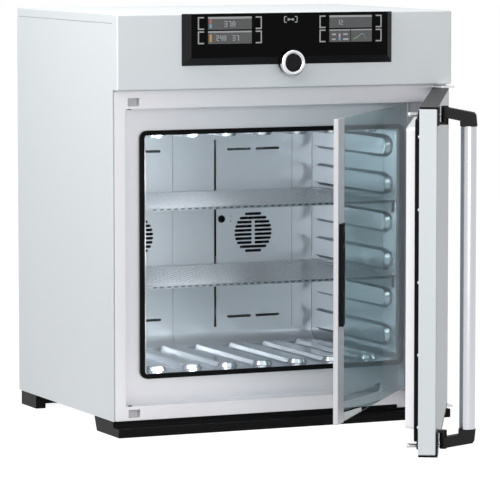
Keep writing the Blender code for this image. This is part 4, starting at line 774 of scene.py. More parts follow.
# Anodised aluminium: fine lines along its length from the drawing die.
ALONG_Z = (0.5, 0.5, 60.0)
ANODISED_TUBE = Finish("satin_anodised_tube", "#C6C8CD", "tube", 0.2, 1.0, ALONG_Z, 0.03, 0.06, 0.001)
EDGE_PROFILE = Finish("light_anodised_profile", "#CFD0D3", "edge", 0.34, 0.4, ALONG_Z, 0.03, 0.06, 0.001)
# Turned and chromed brass: a near mirror.
POLISHED_RING = Finish("polished_chrome_ring", "#E9EAEC", "chrome", 0.08, 1.0, even(1.0), 0.01, 0.02, 0.0)
# Tempered float glass, faintly green from its iron.
CLEAR_PANE = Pane("tinted_tempered_glass", "#C3D9DB", "pane", 0.0)
# Glass printed black from behind: even and glossy.
PRINTED_GLASS = Finish("black_printed_glass", "#060607", "gloss", 0.05, 0.0, even(20.0), 0.1, 0.01, 0.0, 0.05)
# Displays: the dim panel, its lit fields, and the figures, marks and touch signs on them.
SCREEN_FACE = PanelPrint("dim_lcd", "#2E2F31", roughness=0.12, variation=0.05)
TILE_FACE = PanelPrint("lit_display_tile", "#565758", roughness=0.15, grain_mm=even(1.2), variation=0.08)
TILE_TEXT = PanelPrint("lit_display_figures", "#B4B6B8", grain_mm=even(1.2))
TOUCH_PRINT = PanelPrint("grey_touch_print", "#A9ABAC", roughness=0.25)
CURVE_GREEN = PanelPrint("display_green", "#8FBF7A")
CURVE_BLUE = PanelPrint("display_blue", "#6FA9C4")
CURVE_PINK = PanelPrint("display_pink", "#C9A3C0")
ALARM_RED = PanelPrint("display_red", "#C4675C")
TIMER_AMBER = PanelPrint("display_amber", "#D09A3E")
# Pressed mineral wool: coarse, matt fibres in layers.
MINERAL_WOOL = Finish("mineral_wool", "#A89A6C", "wool", 0.95, 0.0, (4.0, 4.0, 1.0), 0.35, 0.05, 1.2,
                      detail=6.0)
# Extruded aluminium fins, bare outside the chamber. The cold sink inside it is drawn near black: painted
# shade of the unlit space behind the grilles.
EXTRUDED_SINK = Finish("extruded_aluminium", "#B8BABD", "sink", 0.42, 1.0, (0.6, 0.6, 30.0), 0.06, 0.1, 0.004)
SHADED_COLD_SINK = Finish("painted_shade_cold_sink", "#141516", "sink", 0.5, 0.3, (0.6, 0.6, 30.0), 0.06, 0.1, 0.004)
# Sintered alumina: chalky white.
CERAMIC = Finish("alumina_ceramic", "#E4E3DE", "ceramic", 0.5, 0.0, even(0.6), 0.04, 0.06, 0.01)
# Glass-fibre laminate under green solder mask.
LAMINATE = Finish("green_circuit_laminate", "#1F5A35", "board", 0.4, 0.0, even(3.0), 0.15, 0.1, 0.01)


# Studio


@dataclass(frozen=True)
class Lamp:
    """A rectangular soft lamp.

    Attributes:
        name: Lamp name.
        where: Its position.
        aim: The point that it faces.
        size: Its width and height.
        power: Power in watts.
    """

    name: str
    where: Point
    aim: Point
    size: Pair
    power: float

    def light(self) -> None:
        """Put the lamp in the scene, unseen by the camera."""
        data = bpy.data.lights.new(self.name, "AREA")
        data.shape = "RECTANGLE"
        data.size, data.size_y = self.size
        data.energy = self.power
        obj = bpy.data.objects.new(self.name, data)
        obj.location = self.where
        obj.rotation_euler = (Vector(self.where) - Vector(self.aim)).to_track_quat("Z", "Y").to_euler()
        obj.visible_camera = False
        bpy.context.collection.objects.link(obj)


@dataclass
class Studio:
    """Floor, lamps, world and the camera at the photograph's view.

    Attributes:
        eye: Camera position.
        heading: Turn of the view to the right of +Y.
        tilt: Turn of the view below the horizon.
        lens: Focal length in millimetres.
        sensor: Sensor width in millimetres.
        reach: Farthest distance that the camera shows.
        floor_span: Half width of the floor.
        floor_level: Height of the floor, just under the feet.
        floor_colour: Its colour as sRGB hex.
        floor_glow: Light that the floor adds to itself where it is seen.
        ambient: Strength of the surroundings as a light.
        lamps: The lamps round the object, and three small ones inside the chamber's mouth.
    """

    eye: Point = (-3.0487, -6.6254, 1.0544)
    heading: float = 0.4222
    tilt: float = 0.0947
    lens: float = 258.85
    sensor: float = 36.0
    reach: float = 100.0
    floor_span: float = 30.0
    floor_level: float = -0.0002
    floor_colour: str = "#8C8C8C"
    floor_glow: float = 0.92
    ambient: float = 0.34
    lamps: tuple[Lamp, ...] = (
        Lamp("key_softbox", (-3.6, -3.4, 3.4), (0.0, 0.2, 0.45), (2.6, 2.6), 64.0),
        Lamp("front_softbox", (-1.4, -5.5, 1.2), (0.0, 0.2, 0.4), (3.0, 2.0), 82.0),
        Lamp("top_softbox", (0.0, 0.0, 3.0), (0.0, 0.2, 0.8), (2.0, 2.0), 20.0),
        Lamp("left_softbox", (-1.6, -0.2, 1.9), (-0.37, 0.25, 0.7), (0.8, 1.6), 30.0),
        Lamp("chamber_softbox_low", (-0.18, 0.046, 0.215), (-0.24, 0.455, 0.210), (0.16, 0.08), 0.34),
        Lamp("chamber_softbox_middle", (-0.18, 0.046, 0.372), (-0.24, 0.455, 0.367), (0.16, 0.08), 0.62),
        Lamp("chamber_softbox_high", (-0.18, 0.046, 0.525), (-0.24, 0.455, 0.520), (0.16, 0.08), 0.66))

    def camera(self) -> None:
        """Camera at the photograph's viewpoint."""
        data = bpy.data.cameras.new("photo_view")
        data.lens, data.sensor_width, data.clip_end = self.lens, self.sensor, self.reach
        obj = bpy.data.objects.new("photo_view", data)
        obj.location = self.eye
        obj.rotation_euler = (math.pi / 2 - self.tilt, 0.0, -self.heading)
        bpy.context.collection.objects.link(obj)
        bpy.context.scene.camera = obj

    def seen(self, tree: bpy.types.NodeTree) -> bpy.types.NodeSocket:
        """Tell the rays that show the background: from the camera, off gloss and through glass.

        Args:
            tree: The node tree of the floor or the world.

        Returns:
            A socket that is 1 for such rays.
        """
        path = add_node(tree, "ShaderNodeLightPath")
        result = path.outputs["Is Camera Ray"]
        for ray in ("Is Glossy Ray", "Is Transmission Ray"):
            result = add_node(tree, "ShaderNodeMath", {0: result, 1: path.outputs[ray]},
                              operation="MAXIMUM").outputs[0]
        return result

    def floor(self) -> None:
        """Pale floor that keeps the shadow and shows as white to the camera."""
        clear_selection()
        bpy.ops.mesh.primitive_plane_add(size=2 * self.floor_span, location=(0.0, 0.0, self.floor_level))
        obj = bpy.context.object
        obj.name = "studio_floor"
        mat = bpy.data.materials.new("pale_studio_floor")
        mat.use_nodes = True
        tree = mat.node_tree
        shader = tree.nodes["Principled BSDF"]
        for socket, value in (("Base Color", linear(self.floor_colour)), ("Roughness", 0.9),
                              ("Specular IOR Level", 0.0), ("Emission Color", WHITE)):
            shader.inputs[socket].default_value = value
        glow = add_node(tree, "ShaderNodeMath", {0: self.seen(tree), 1: self.floor_glow},
                        operation="MULTIPLY")
        tree.links.new(glow.outputs[0], shader.inputs["Emission Strength"])
        obj.data.materials.append(mat)

    def world(self) -> None:
        """Even pale surroundings, pure white to the camera."""
        world = bpy.data.worlds.new("studio")
        bpy.context.scene.world = world
        world.use_nodes = True
        tree = world.node_tree
        back = tree.nodes["Background"]
        level = add_node(tree, "ShaderNodeMapRange", {
            "Value": self.seen(tree), "To Min": self.ambient, "To Max": 1.0})
        tree.links.new(level.outputs[0], back.inputs["Strength"])
        back.inputs["Color"].default_value = WHITE

    def build(self) -> None:
        """Set up the whole studio."""
        bpy.context.scene.view_settings.view_transform = "Standard"
        self.camera()
        self.floor()
        self.world()
        for lamp in self.lamps:
            lamp.light()


# Housing


@dataclass
class Housing:
    """Sheet housing: sides, cover, fascia, door frame, base and back.

    Attributes:
        keeper_x: Left and right edge of the plates round the latch slots.
        keeper_y: Front and back of those plates.
        keeper_half: Half their height.
        keeper_round: Radius of their corners.
        window_x: Left and right edge of the slots.
        window_half: Half the slots' height.
        window_round: Radius of the slots' corners.
        window_cut: How far the tool that cuts them reaches to both sides.
        cup_y: Front and back of the cup behind each slot.
        cup_wall: Wall of the cups.
        cup_open: How far the tool that hollows them reaches out of their mouths.
        stop_at: X and Y of the glass door's two round stops.
        stop_radius: Radius of the stops.
        stop_heights: Lower and upper end of each stop.
        screw_radius: Head radius of the rear screws.
        screw_height: Height of their heads.
        screw_rows: X, Z and Y of the rear screws, group by group.
    """

    keeper_x: Pair = (-0.3580, -0.2740)
    keeper_y: Pair = (-0.0002, -0.0001)
    keeper_half: float = 0.0105
    keeper_round: float = 0.0012
    window_x: Pair = (-0.3395, -0.3145)
    window_half: float = 0.008
    window_round: float = 0.0008
    window_cut: float = 0.003
    cup_y: Pair = (0.0014, 0.0162)
    cup_wall: float = 0.001
    cup_open: float = 0.0004
    stop_at: Pair = (-0.3335, 0.0070)
    stop_radius: float = 0.0042
    stop_heights: tuple[Pair, Pair] = ((0.0586, 0.0601), (0.6550, 0.6565))
    screw_radius: float = 0.0035
    screw_height: float = 0.0016
    screw_rows: tuple[tuple[tuple[float, ...], Pair, float], ...] = (
        ((-0.355, 0.0, 0.355), (0.045, 0.812), 0.537),
        ((-0.355, 0.355), (0.300, 0.555), 0.537),
        ((-0.213, 0.213), (0.240, 0.472), 0.5923))

    def shells(self) -> None:
        """Outer sheets, door frame, back and base."""
        refine(STRUCTURED_SHEET, "cabinet", "side_panel_left", "side_panel_right", "top_cover", "fascia")
        refine(GROUND_STEEL, "cabinet", "front_frame")
        refine(DARK_STEEL, "cabinet", "rear_panel", "cooling_cover", "bottom_pan", width=0.0003, segments=1)
        refine(BLACK_ABS, "cabinet", "base_rail_front", "rear_base", width=0.0006)

    def keepers(self) -> None:
        """Thin plate round each latch slot in the frame's rim, with the cup behind it."""
        (left, right), (front, back) = self.window_x, self.cup_y
        half, wall, tall = self.window_half, self.cup_wall, self.keeper_half
        for label, z in LATCHES:
            outline = round_rect(*self.keeper_x, z - tall, z + tall, self.keeper_round)
            plate = Piece.plate("keeper_plate_" + label, outline, Axis.Y, *self.keeper_y)
            window = round_rect(left, right, z - half, z + half, self.window_round)
            plate.carve(Piece.plate("keeper_window", window, Axis.Y, -self.window_cut, self.window_cut))
            plate.smooth().dress(GROUND_STEEL, "cabinet")
            cup = Piece.block("keeper_cup_" + label, (left - wall, front, z - half - wall),
                              (right + wall, back, z + half + wall))
            cup.carve(Piece.block("cup_space", (left, front - self.cup_open, z - half),
                                  (right, back - wall, z + half)))
            cup.smooth().dress(KEEPER_PLASTIC, "cabinet")

    def stops(self) -> None:
        """Round stops that the glass door shuts against."""
        r = self.stop_radius
        for (label, _), (z0, z1) in zip(LATCHES, self.stop_heights):
            stop = Piece.turned("glass_door_stop_" + label, [(0.0, z0), (r, z0), (r, z1), (0.0, z1)],
                                Axis.Z, *self.stop_at, 24)
            stop.smooth(40.0).dress(GLASS_FILLED_NYLON, "cabinet")

    def rear_screws(self) -> None:
        """Dome-head screws round the rear panel and the unit cover."""
        spots = [(x, y + FOOT_GAP, z) for xs, zs, y in self.screw_rows for x in xs for z in zs]
        screws = screw_set("rear_screws", spots, self.screw_radius, self.screw_height)
        screws.smooth(weighted=False).dress(DARK_STEEL, "cabinet")

    def build(self) -> None:
        """Build the housing."""
        self.shells()
        self.keepers()
        self.stops()
        self.rear_screws()
        refine(BLACK_ABS, "cabinet", "mains_inlet", segments=1)


# Control panel

# Lit bars of each figure from 0 to 9, a to g in the usual order
FIGURE_BARS = ("abcdef", "bc", "abged", "abgcd", "fgbc", "afgcd", "afgedc", "abc", "abcdefg", "abcdfg")


class Layer(Enum):
    """Distance of a printed field's back and front from the panel's glass."""

    FIELD = (0.00002, 0.00015)
    STRIP = (0.00002, 0.00024)
    FIGURE = (0.0002, 0.00028)
    MARK = (0.0002, 0.0003)


@dataclass
class ControlPanel:
    """Bezel, printed glass, touch fields and the two displays.

    Attributes:
        face: The glass's front face on Y.
        centre: Distance of each display's centre from the middle.
        rows: Lower and upper edge of each row of touch fields.
        bracket: Inner and outer reach of the brackets beside a display.
        line: Width of the brackets' lines.
        tile_half: Half width of a display.
        tile_gap: Distance of the divided field's halves from its middle.
        tile_round: Corner radius of the lit fields.
        stroke: Width of a figure's bars as a share of its height.
        aspect: Width of a figure as a share of its height.
        pitch: Distance between figures as a share of their height.
        course: Points of the drawn course of temperature on the right display.
        course_line: Width of its line.
        icon_z: Height of the printed sign in the middle.
        icon_half: Half width and half height of the sign.
        icon_arm: Length of its brackets' arms.
        icon_line: Width of its lines.
        icon_cut: Size of its brackets' cut corners.
        link_x: Inner and outer edge of the chain link's two parts.
        link_half: Half their height.
        link_round: Radius of their corners.
        link_bar: Half width, half height and corner radius of the bar between them.
    """

    face: float = -0.0392
    centre: float = 0.134
    rows: tuple[Pair, Pair] = ((0.7850, 0.8105), (0.8135, 0.8390))
    bracket: Pair = (0.0565, 0.0700)
    line: float = 0.0026
    tile_half: float = 0.0478
    tile_gap: float = 0.0008
    tile_round: float = 0.0006
    stroke: float = 0.14
    aspect: float = 0.52
    pitch: float = 0.72
    course: tuple[Pair, ...] = ((0.006, 0.006), (0.015, 0.010), (0.024, 0.017), (0.030, 0.015),
                                (0.034, 0.006))
    course_line: float = 0.0014
    icon_z: float = 0.832
    icon_half: Pair = (0.0150, 0.0065)
    icon_arm: float = 0.0060
    icon_line: float = 0.0018
    icon_cut: float = 0.0015
    link_x: Pair = (0.0022, 0.0072)
    link_half: float = 0.0022
    link_round: float = 0.0008
    link_bar: Point = (0.0026, 0.0008, 0.0003)

    def field(self, name: str, outline: Outline, layer: Layer = Layer.FIELD) -> Piece:
        """Thin field in front of the glass, not dressed yet."""
        back, front = layer.value
        return Piece.plate(name, outline, Axis.Y, self.face - back, self.face - front)

    def brackets(self) -> None:
        """Square brackets that mark the touch fields."""
        (inner, outer), t = self.bracket, self.line
        for side, centre in (("left", -self.centre), ("right", self.centre)):
            for row, (z0, z1) in enumerate(self.rows):
                outline = [(inner, z0), (outer, z0), (outer, z1), (inner, z1), (inner, z1 - t),
                           (outer - t, z1 - t), (outer - t, z0 + t), (inner, z0 + t)]
                for way, mark in ((-1, "open"), (1, "close")):
                    shape = [(centre + way * u, z) for u, z in outline]
                    self.field(f"touch_{mark}_{side}_{row}", shape).dress(TOUCH_PRINT, "cabinet")

    def icon(self) -> None:
        """Printed sign of the data link between the displays: two brackets and a chain link."""
        (wide, tall), arm, t, cut = self.icon_half, self.icon_arm, self.icon_line, self.icon_cut
        z, half = self.icon_z, self.link_half
        shapes: list[Outline] = []
        for way in (-1, 1):
            bracket = [(wide - arm, -tall), (wide - cut, -tall), (wide, cut - tall), (wide, tall - cut),
                       (wide - cut, tall), (wide - arm, tall), (wide - arm, tall - t), (wide - t, tall - t),
                       (wide - t, t - tall), (wide - arm, t - tall)]
            shapes.append([(way * u, z + v) for u, v in bracket])
            u0, u1 = sorted(way * u for u in self.link_x)
            shapes.append(round_rect(u0, u1, z - half, z + half, self.link_round, 3))
        long, thick, radius = self.link_bar
        shapes.append(round_rect(-long, long, z - thick, z + thick, radius, 2))
        for i, outline in enumerate(shapes):
            self.field(f"link_sign_{i}", outline).dress(TOUCH_PRINT, "cabinet")

    def tiles(self) -> None:
        """Lit fields of the two displays, each with a paler strip along its top."""
        low, up = self.rows
        half, gap, r = self.tile_half, self.tile_gap, self.tile_round
        # Field, strip, display, left and right edge from its centre, row, and the strip's height
        for tile, strip, side, u0, u1, (z0, z1), tall in (
                ("upper_left", "header_left", -1, -half, half, up, 0.004),
                ("upper_right", "header_right", 1, -half, half, up, 0.004),
                ("lower_left", "line_left", -1, -half, half, low, 0.003),
                ("lower_right_a", "line_right_a", 1, -half, -gap, low, 0.0025),
                ("lower_right_b", "line_right_b", 1, gap, half, low, 0.0025)):
            left, right = side * self.centre + u0, side * self.centre + u1
            self.field("tile_" + tile, round_rect(left, right, z0, z1, r, 2)).dress(TILE_FACE, "cabinet")
            top = self.field("tile_" + strip, round_rect(left, right, z1 - tall, z1, r, 2), Layer.STRIP)
            top.dress(TOUCH_PRINT, "cabinet")

    def figure(self, digit: int, u: float, z: float, height: float) -> list[Outline]:
        """Bars of one seven-bar figure.

        Args:
            digit: The figure, 0 to 9.
            u: Its left edge.
            z: Its lower edge.
            height: Its height.

        Returns:
            The outline of each lit bar.
        """
        w, t, h = height * self.aspect, height * self.stroke, height / 2
        spans = {"a": (0, w, height - t, height), "d": (0, w, 0, t), "g": (0, w, h - t / 2, h + t / 2),
                 "f": (0, t, h, height), "b": (w - t, w, h, height), "e": (0, t, 0, h), "c": (w - t, w, 0, h)}
        return [[(u + a, z + c), (u + b, z + c), (u + b, z + d), (u + a, z + d)]
                for a, b, c, d in (spans[bar] for bar in FIGURE_BARS[digit])]

    def readings(self) -> None:
        """Readings and the clock, each row of figures as one piece."""
        # Name, figures, display, row, left and lower edge from the display's centre and foot, height
        for name, digits, side, row, u, z, height in (
                ("reading_upper", (3, 7, 0), -1, 1, -0.012, 0.005, 0.012),
                ("reading_lower", (2, 4, 0), -1, 0, -0.030, 0.006, 0.011),
                ("reading_set", (3, 7), -1, 0, 0.006, 0.006, 0.011),
                ("clock_upper", (1, 2), 1, 1, -0.030, 0.006, 0.010)):
            left, foot = side * self.centre + u, self.rows[row][0] + z
            bars = [self.field(name, bar, Layer.FIGURE) for i, digit in enumerate(digits)
                    for bar in self.figure(digit, left + i * height * self.pitch, foot, height)]
            bars[0].join(*bars[1:]).dress(TILE_TEXT, "cabinet")

    def course_lines(self) -> None:
        """Course of temperature drawn on the right display."""
        foot = self.rows[0][0]
        for name, points, finish in (("course_rise", self.course[:3], CURVE_GREEN),
                                     ("course_fall", self.course[2:], CURVE_BLUE)):
            outline = [(self.centre + u, foot + z) for u, z in points]
            outline += [(self.centre + u, foot + z - self.course_line) for u, z in reversed(points)]
            self.field(name, outline, Layer.MARK).dress(finish, "cabinet")

    def marks(self) -> None:
        """Small coloured marks on the displays."""
        # Name, display, row, edges from the display's centre and foot, corner, its segments, finish
        for name, side, row, u0, u1, z0, z1, radius, steps, finish in (
                ("alarm_high", -1, 1, -0.0445, -0.0400, 0.012, 0.021, 0.0010, 3, ALARM_RED),
                ("alarm_low", -1, 1, -0.0445, -0.0400, 0.003, 0.011, 0.0010, 3, CURVE_BLUE),
                ("timer_mark", -1, 0, -0.0445, -0.0400, 0.004, 0.019, 0.0010, 3, TIMER_AMBER),
                ("gauge_low", 1, 0, -0.027, -0.023, 0.003, 0.010, 0.0012, 3, CURVE_BLUE),
                ("gauge_high", 1, 0, -0.027, -0.023, 0.010, 0.017, 0.0012, 3, CURVE_PINK),
                ("status_mark_0", 1, 0, -0.042, -0.033, 0.014, 0.017, 0.0006, 2, TILE_TEXT),
                ("status_mark_1", 1, 0, -0.017, -0.007, 0.014, 0.017, 0.0006, 2, TILE_TEXT),
                ("status_mark_2", 1, 0, -0.042, -0.034, 0.004, 0.007, 0.0006, 2, TILE_TEXT),
                ("status_mark_3", 1, 0, -0.017, -0.005, 0.004, 0.007, 0.0006, 2, TILE_TEXT)):
            middle, foot = side * self.centre, self.rows[row][0]
            outline = round_rect(middle + u0, middle + u1, foot + z0, foot + z1, radius, steps)
            self.field(name, outline, Layer.MARK).dress(finish, "cabinet")

    def build(self) -> None:
        """Build the panel."""
        refine(BEZEL_ABS, "cabinet", "panel_bezel", width=0.0010, segments=3)
        refine(PRINTED_GLASS, "cabinet", "panel_glass", width=0.0003)
        paint(SCREEN_FACE, "display_module")
        self.brackets()
        self.icon()
        self.tiles()
        self.readings()
        self.course_lines()
        self.marks()
        paint(LAMINATE, "control_board")


@dataclass
class Dial:
    """Turn-and-push dial with a bright ring.

    Attributes:
        z: Height of its axis.
        ring: Outer and inner radius of the ring.
        brow: Radius of the ring's outer front edge.
        throat: Radius of its inner front edge.
        back_edge: Width and depth of its outer back edge's chamfer.
        cap_dish: The cap's dished middle, as shares of its radius and depths.
        cap_rim: Its rim, as distances in from its radius and depths.
        boss: Radius and length of the cap's boss on the shaft.
    """

    z: float = 0.745
    ring: Pair = (0.0260, 0.0180)
    brow: float = 0.0030
    throat: float = 0.0022
    back_edge: Pair = (0.0006, 0.0008)
    cap_dish: tuple[Pair, ...] = ((0.0, 0.0005), (0.6, 0.0003))
    cap_rim: tuple[Pair, ...] = ((0.0012, 0.0), (0.0004, 0.0003), (0.0, 0.0012))
    boss: Pair = (0.0045, 0.005)

    def build(self) -> None:
        """Build ring, cap and collar."""
        low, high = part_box("dial_ring")
        front, back = low[1], high[1]
        (outer, inner), (inset, rise), brow, throat = self.ring, self.back_edge, self.brow, self.throat
        profile = [(inner, back), (outer - inset, back), (outer, back - rise), (outer, front + brow)]
        profile += arc(outer - brow, front + brow, brow, 0, -90, 6)[1:]
        profile += arc(inner + throat, front + throat, throat, -90, -180, 5)[1:]
        ring = Piece.turned("dial_ring_finish", profile, Axis.Y, 0.0, self.z, 96, True)
        ring.smooth(60.0, False).dress(POLISHED_RING, "dial", "dial_ring")
        low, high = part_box("dial_cap")
        face, back, radius = low[1], high[1], (high[0] - low[0]) / 2
        boss, length = self.boss
        profile = [(radius * share, face + depth) for share, depth in self.cap_dish]
        profile += [(radius - inset, face + depth) for inset, depth in self.cap_rim]
        profile += [(radius, back), (boss, back), (boss, back - length), (0.0, back - length)]
        cap = Piece.turned("dial_cap_finish", profile, Axis.Y, 0.0, self.z, 96)
        cap.smooth(40.0, False).dress(BEZEL_ABS, "dial", "dial_cap")
        refine(BLACK_ABS, "cabinet", "dial_collar", width=0.0006)
        paint(ANODISED_TUBE, "dial_shaft")


# Chamber


@dataclass
class Chamber:
    """Ribbed liner, coved back panels, seal, sensor and air system.

    Attributes:
        fan_x: Distance of each fan's axis from the middle.
        fan_z: Height of the fan axes.
        fan_hole: Half width of the square hole behind each fan.
        half: Distance of the side walls from the middle.
        floor: Height of the chamber floor.
        ceiling: Height of its ceiling.
        mouth: Front edge of the liner on Y.
        rear: Its rear wall on Y.
        sheet: Sheet thickness.
        rib_front: Front end of the ribs on Y.
        rib_ends: Rear end of the ribs on the sides, and on the floor and ceiling.
        rib_first: Height of the lowest rib on the sides.
        rib_pitch: Distance between ribs.
        rib_base: Width of a rib where it leaves the wall.
        rib_crown: Width of its flat crown.
        rib_height: Height of its crown above the wall.
        rib_bend: Radius of its bends.
        bend_steps: Segments in each bend.
        panel_face: Chamber face of the back panels on Y.
        cove: Radius of their bends at the top and bottom.
        grille_radius: Radius of the fan grilles.
        grille_rows: Slots in a grille.
        grille_pitch: Distance between them.
        grille_slot: Height of a grille slot.
        grille_web: Half width of the web down the middle of a grille.
        air_rise: Distance of the air slots above and below the fan axes.
        air_starts: Inner end of each air slot from the fan's axis.
        air_slot: Length and height of an air slot.
        sensor_slot: Left and right edge of the long slot beside the sensor, and half its length.
        sensor_hole: X, Z and radius of the hole round the sensor.
        slot_tool: Front and back of the tools that cut the openings.
        rivets: Heights of the two rivets beside the sensor.
        rivet_x: Their place on X.
        rivet_size: Radius and height of their heads.
        fold: Left, right, lower and upper edge of the painted shade line along the fold.
        fold_y: Its front and back.
    """

    fan_x: float = 0.1395
    fan_z: float = 0.356
    fan_hole: float = 0.022
    half: float = 0.280
    floor: float = 0.116
    ceiling: float = 0.600
    mouth: float = 0.0515
    rear: float = 0.4945
    sheet: float = 0.0012
    rib_front: float = 0.078
    rib_ends: Pair = (0.438, 0.424)
    rib_first: float = 0.16505
    rib_pitch: float = 0.0791
    rib_base: float = 0.049
    rib_crown: float = 0.033
    rib_height: float = 0.009
    rib_bend: float = 0.0024
    bend_steps: int = 4
    panel_face: float = 0.455
    cove: float = 0.025
    grille_radius: float = 0.0446
    grille_rows: int = 10
    grille_pitch: float = 0.0089
    grille_slot: float = 0.0058
    grille_web: float = 0.003
    air_rise: float = 0.1815
    air_starts: Pair = (-0.062, 0.0055)
    air_slot: Pair = (0.0565, 0.0056)
    sensor_slot: Point = (0.0469, 0.0521, 0.2025)
    sensor_hole: Point = (0.0645, 0.387, 0.0083)
    slot_tool: Pair = (0.451, 0.461)
    rivets: Pair = (0.3815, 0.3925)
    rivet_x: float = 0.086
    rivet_size: Pair = (0.0022, 0.0010)
    fold: tuple[float, float, float, float] = (0.2313, 0.2319, 0.148, 0.572)
    fold_y: Pair = (0.45480, 0.45495)

    def rib_section(self) -> Outline:
        """Inset and rise of a rib's flank: a hollow bend, a slope and a round shoulder.

        Returns:
            The section's points from the wall to the crown.
        """
        run, rise, r = (self.rib_base - self.rib_crown) / 2, self.rib_height, self.rib_bend
        slope = math.atan2(rise - 2 * r, run) + math.asin(2 * r / math.hypot(run, rise - 2 * r))
        turn = [slope * i / self.bend_steps for i in range(self.bend_steps + 1)]
        hollow = [(r * math.sin(a), r - r * math.cos(a)) for a in turn]
        shoulder = [(run - r * math.sin(a), rise - r + r * math.cos(a)) for a in reversed(turn)]
        return hollow + shoulder

    def press(self, axis: Axis, level: float, inward: int, outline: Outline) -> Piece:
        """Press one rib out of its flat outline by insets along an S-shaped section.

        Args:
            axis: Axis across the wall.
            level: The wall's chamber face on that axis.
            inward: 1 or -1, the way into the chamber.
            outline: The rib's outline on the wall.

        Returns:
            The rib's skin, open where it meets the wall.
        """
        piece = Piece.plate("rib", outline, axis, level, level)
        away = Vector(place(axis, 0.0, 0.0, inward))
        with piece.editing():
            if piece.obj.data.polygons[0].normal.dot(away) < 0:
                bpy.ops.mesh.flip_normals()
            bpy.ops.mesh.select_mode(type="FACE")
            bpy.ops.mesh.select_all(action="SELECT")
            section = self.rib_section()
            for (t0, h0), (t1, h1) in zip(section, section[1:]):
                bpy.ops.mesh.inset(thickness=t1 - t0, depth=h1 - h0)
        return piece

    def wall(self, axis: Axis, level: float, inward: int, centres: Sequence[float], end: float) -> Piece:
        """Flat wall with its row of ribs along Y.

        Args:
            axis: Axis across the wall.
            level: The wall's chamber face on that axis.
            inward: 1 or -1, the way into the chamber.
            centres: Middle of each rib across its length.
            end: Where the ribs end on Y.

        Returns:
            The wall as an open skin.
        """
        def on_wall(outline: Outline) -> Outline:
            """Put a (y, across) outline in the wall's own plane."""
            return outline if axis is Axis.X else [(across, y) for y, across in outline]

        low, high = (self.floor, self.ceiling) if axis is Axis.X else (-self.half, self.half)
        border = [(self.mouth, low), (self.rear, low), (self.rear, high), (self.mouth, high)]
        ribs = [slot_outline(self.rib_front, end, centre, self.rib_base, 12) for centre in centres]
        sheet = Piece.pierced("wall", [on_wall(outline) for outline in [border] + ribs], axis, level)
        first = self.press(axis, level, inward, on_wall(ribs[0]))
        steps = [place(axis, *on_wall([(0.0, centre - centres[0])])[0], 0.0) for centre in centres]
        return sheet.join(*first.spread(steps))

    def liner(self) -> None:
        """Liner folded from sheet, with pressed ribs on four walls."""
        upright = [self.rib_first + self.rib_pitch * i for i in range(6)]
        across = [self.rib_pitch * (i - 3) for i in range(7)]
        half, hole = self.half, self.fan_hole
        rear = [(-half, self.floor), (half, self.floor), (half, self.ceiling), (-half, self.ceiling)]
        holes = [round_rect(x - hole, x + hole, self.fan_z - hole, self.fan_z + hole, 0.001, 2)
                 for x in (-self.fan_x, self.fan_x)]
        liner = Piece.pierced("chamber_liner_finish", [rear] + holes, Axis.Y, self.rear)
        walls = [self.wall(Axis.X, side * half, -side, upright, self.rib_ends[0]) for side in (-1, 1)]
        walls += [self.wall(Axis.Z, level, way, across, self.rib_ends[1])
                  for level, way in ((self.floor, 1), (self.ceiling, -1))]
        liner.join(*walls)
        with liner.editing():
            bpy.ops.mesh.remove_doubles(threshold=SAME_CORNER)
            bpy.ops.mesh.normals_make_consistent(inside=False)
        rear_face = [p for p in liner.obj.data.polygons if p.center.y > self.rear - 1e-4]
        if rear_face[0].normal.y > 0:
            with liner.editing():
                bpy.ops.mesh.flip_normals()
        liner.apply("SOLIDIFY", thickness=self.sheet, offset=-1.0)
        liner.smooth(35.0).dress(CHAMBER_STEEL, "cabinet", "chamber_liner")

    def back_profile(self, low: Vector, high: Vector) -> Outline:
        """Side view of a back panel's sheet.

        Args:
            low: Lowest corner of the panel's box.
            high: Highest corner.

        Returns:
            The chamber face from the floor up, then the other face back down.
        """
        r, z0, z1 = self.cove, low[2] + self.sheet, high[2] - self.sheet
        y = self.panel_face - r
        face = [(low[1], z0)] + arc(y, z0 + r, r, -90, 0, 10) + arc(y, z1 - r, r, 0, 90, 10) + [(low[1], z1)]
        back = [(v + self.sheet * nv, z + self.sheet * nz) for (v, z), (nv, nz) in zip(face, normals(face))]
        return face + back[::-1]

    def slots(self, side: int) -> list[Outline]:
        """Fan grille and air slots of one back panel.

        Args:
            side: -1 for the left panel, 1 for the right one.

        Returns:
            The outlines of the slots.
        """
        outlines: list[Outline] = []
        x, web, last = side * self.fan_x, self.grille_web, self.grille_rows - 1
        for row in range(self.grille_rows):
            rise = (row - last / 2) * self.grille_pitch
            half = math.sqrt(self.grille_radius ** 2 - rise ** 2)
            whole = row in (0, 1, last - 1, last)
            spans = [(x - half, x + half)] if whole else [(x - half, x - web), (x + web, x + half)]
            outlines += [slot_outline(u0, u1, self.fan_z + rise, self.grille_slot) for u0, u1 in spans]
        length, height = self.air_slot
        for z in (self.fan_z - self.air_rise, self.fan_z + self.air_rise):
            for start in self.air_starts:
                u = self.fan_x + start
                outlines.append(slot_outline(*sorted((side * u, side * (u + length))), z, height))
        return outlines

    def back_panels(self) -> None:
        """Back panels with their openings cut through."""
        left, right, reach = self.sensor_slot
        x, z, radius = self.sensor_hole
        for side, node in ((-1, "back_panel_left"), (1, "back_panel_right")):
            low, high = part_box(node)
            piece = Piece.plate(node + "_finish", self.back_profile(low, high), Axis.X, low[0], high[0])
            openings = self.slots(side)
            if side > 0:
                openings.append(round_rect(left, right, self.fan_z - reach, self.fan_z + reach, 0.0009, 3))
                openings.append(arc(x, z, radius, 0, 345, 23))
            tools = [Piece.plate("slot_tool", outline, Axis.Y, *self.slot_tool) for outline in openings]
            piece.carve(*tools).smooth(30.0).dress(BACK_STEEL, "cabinet", node)

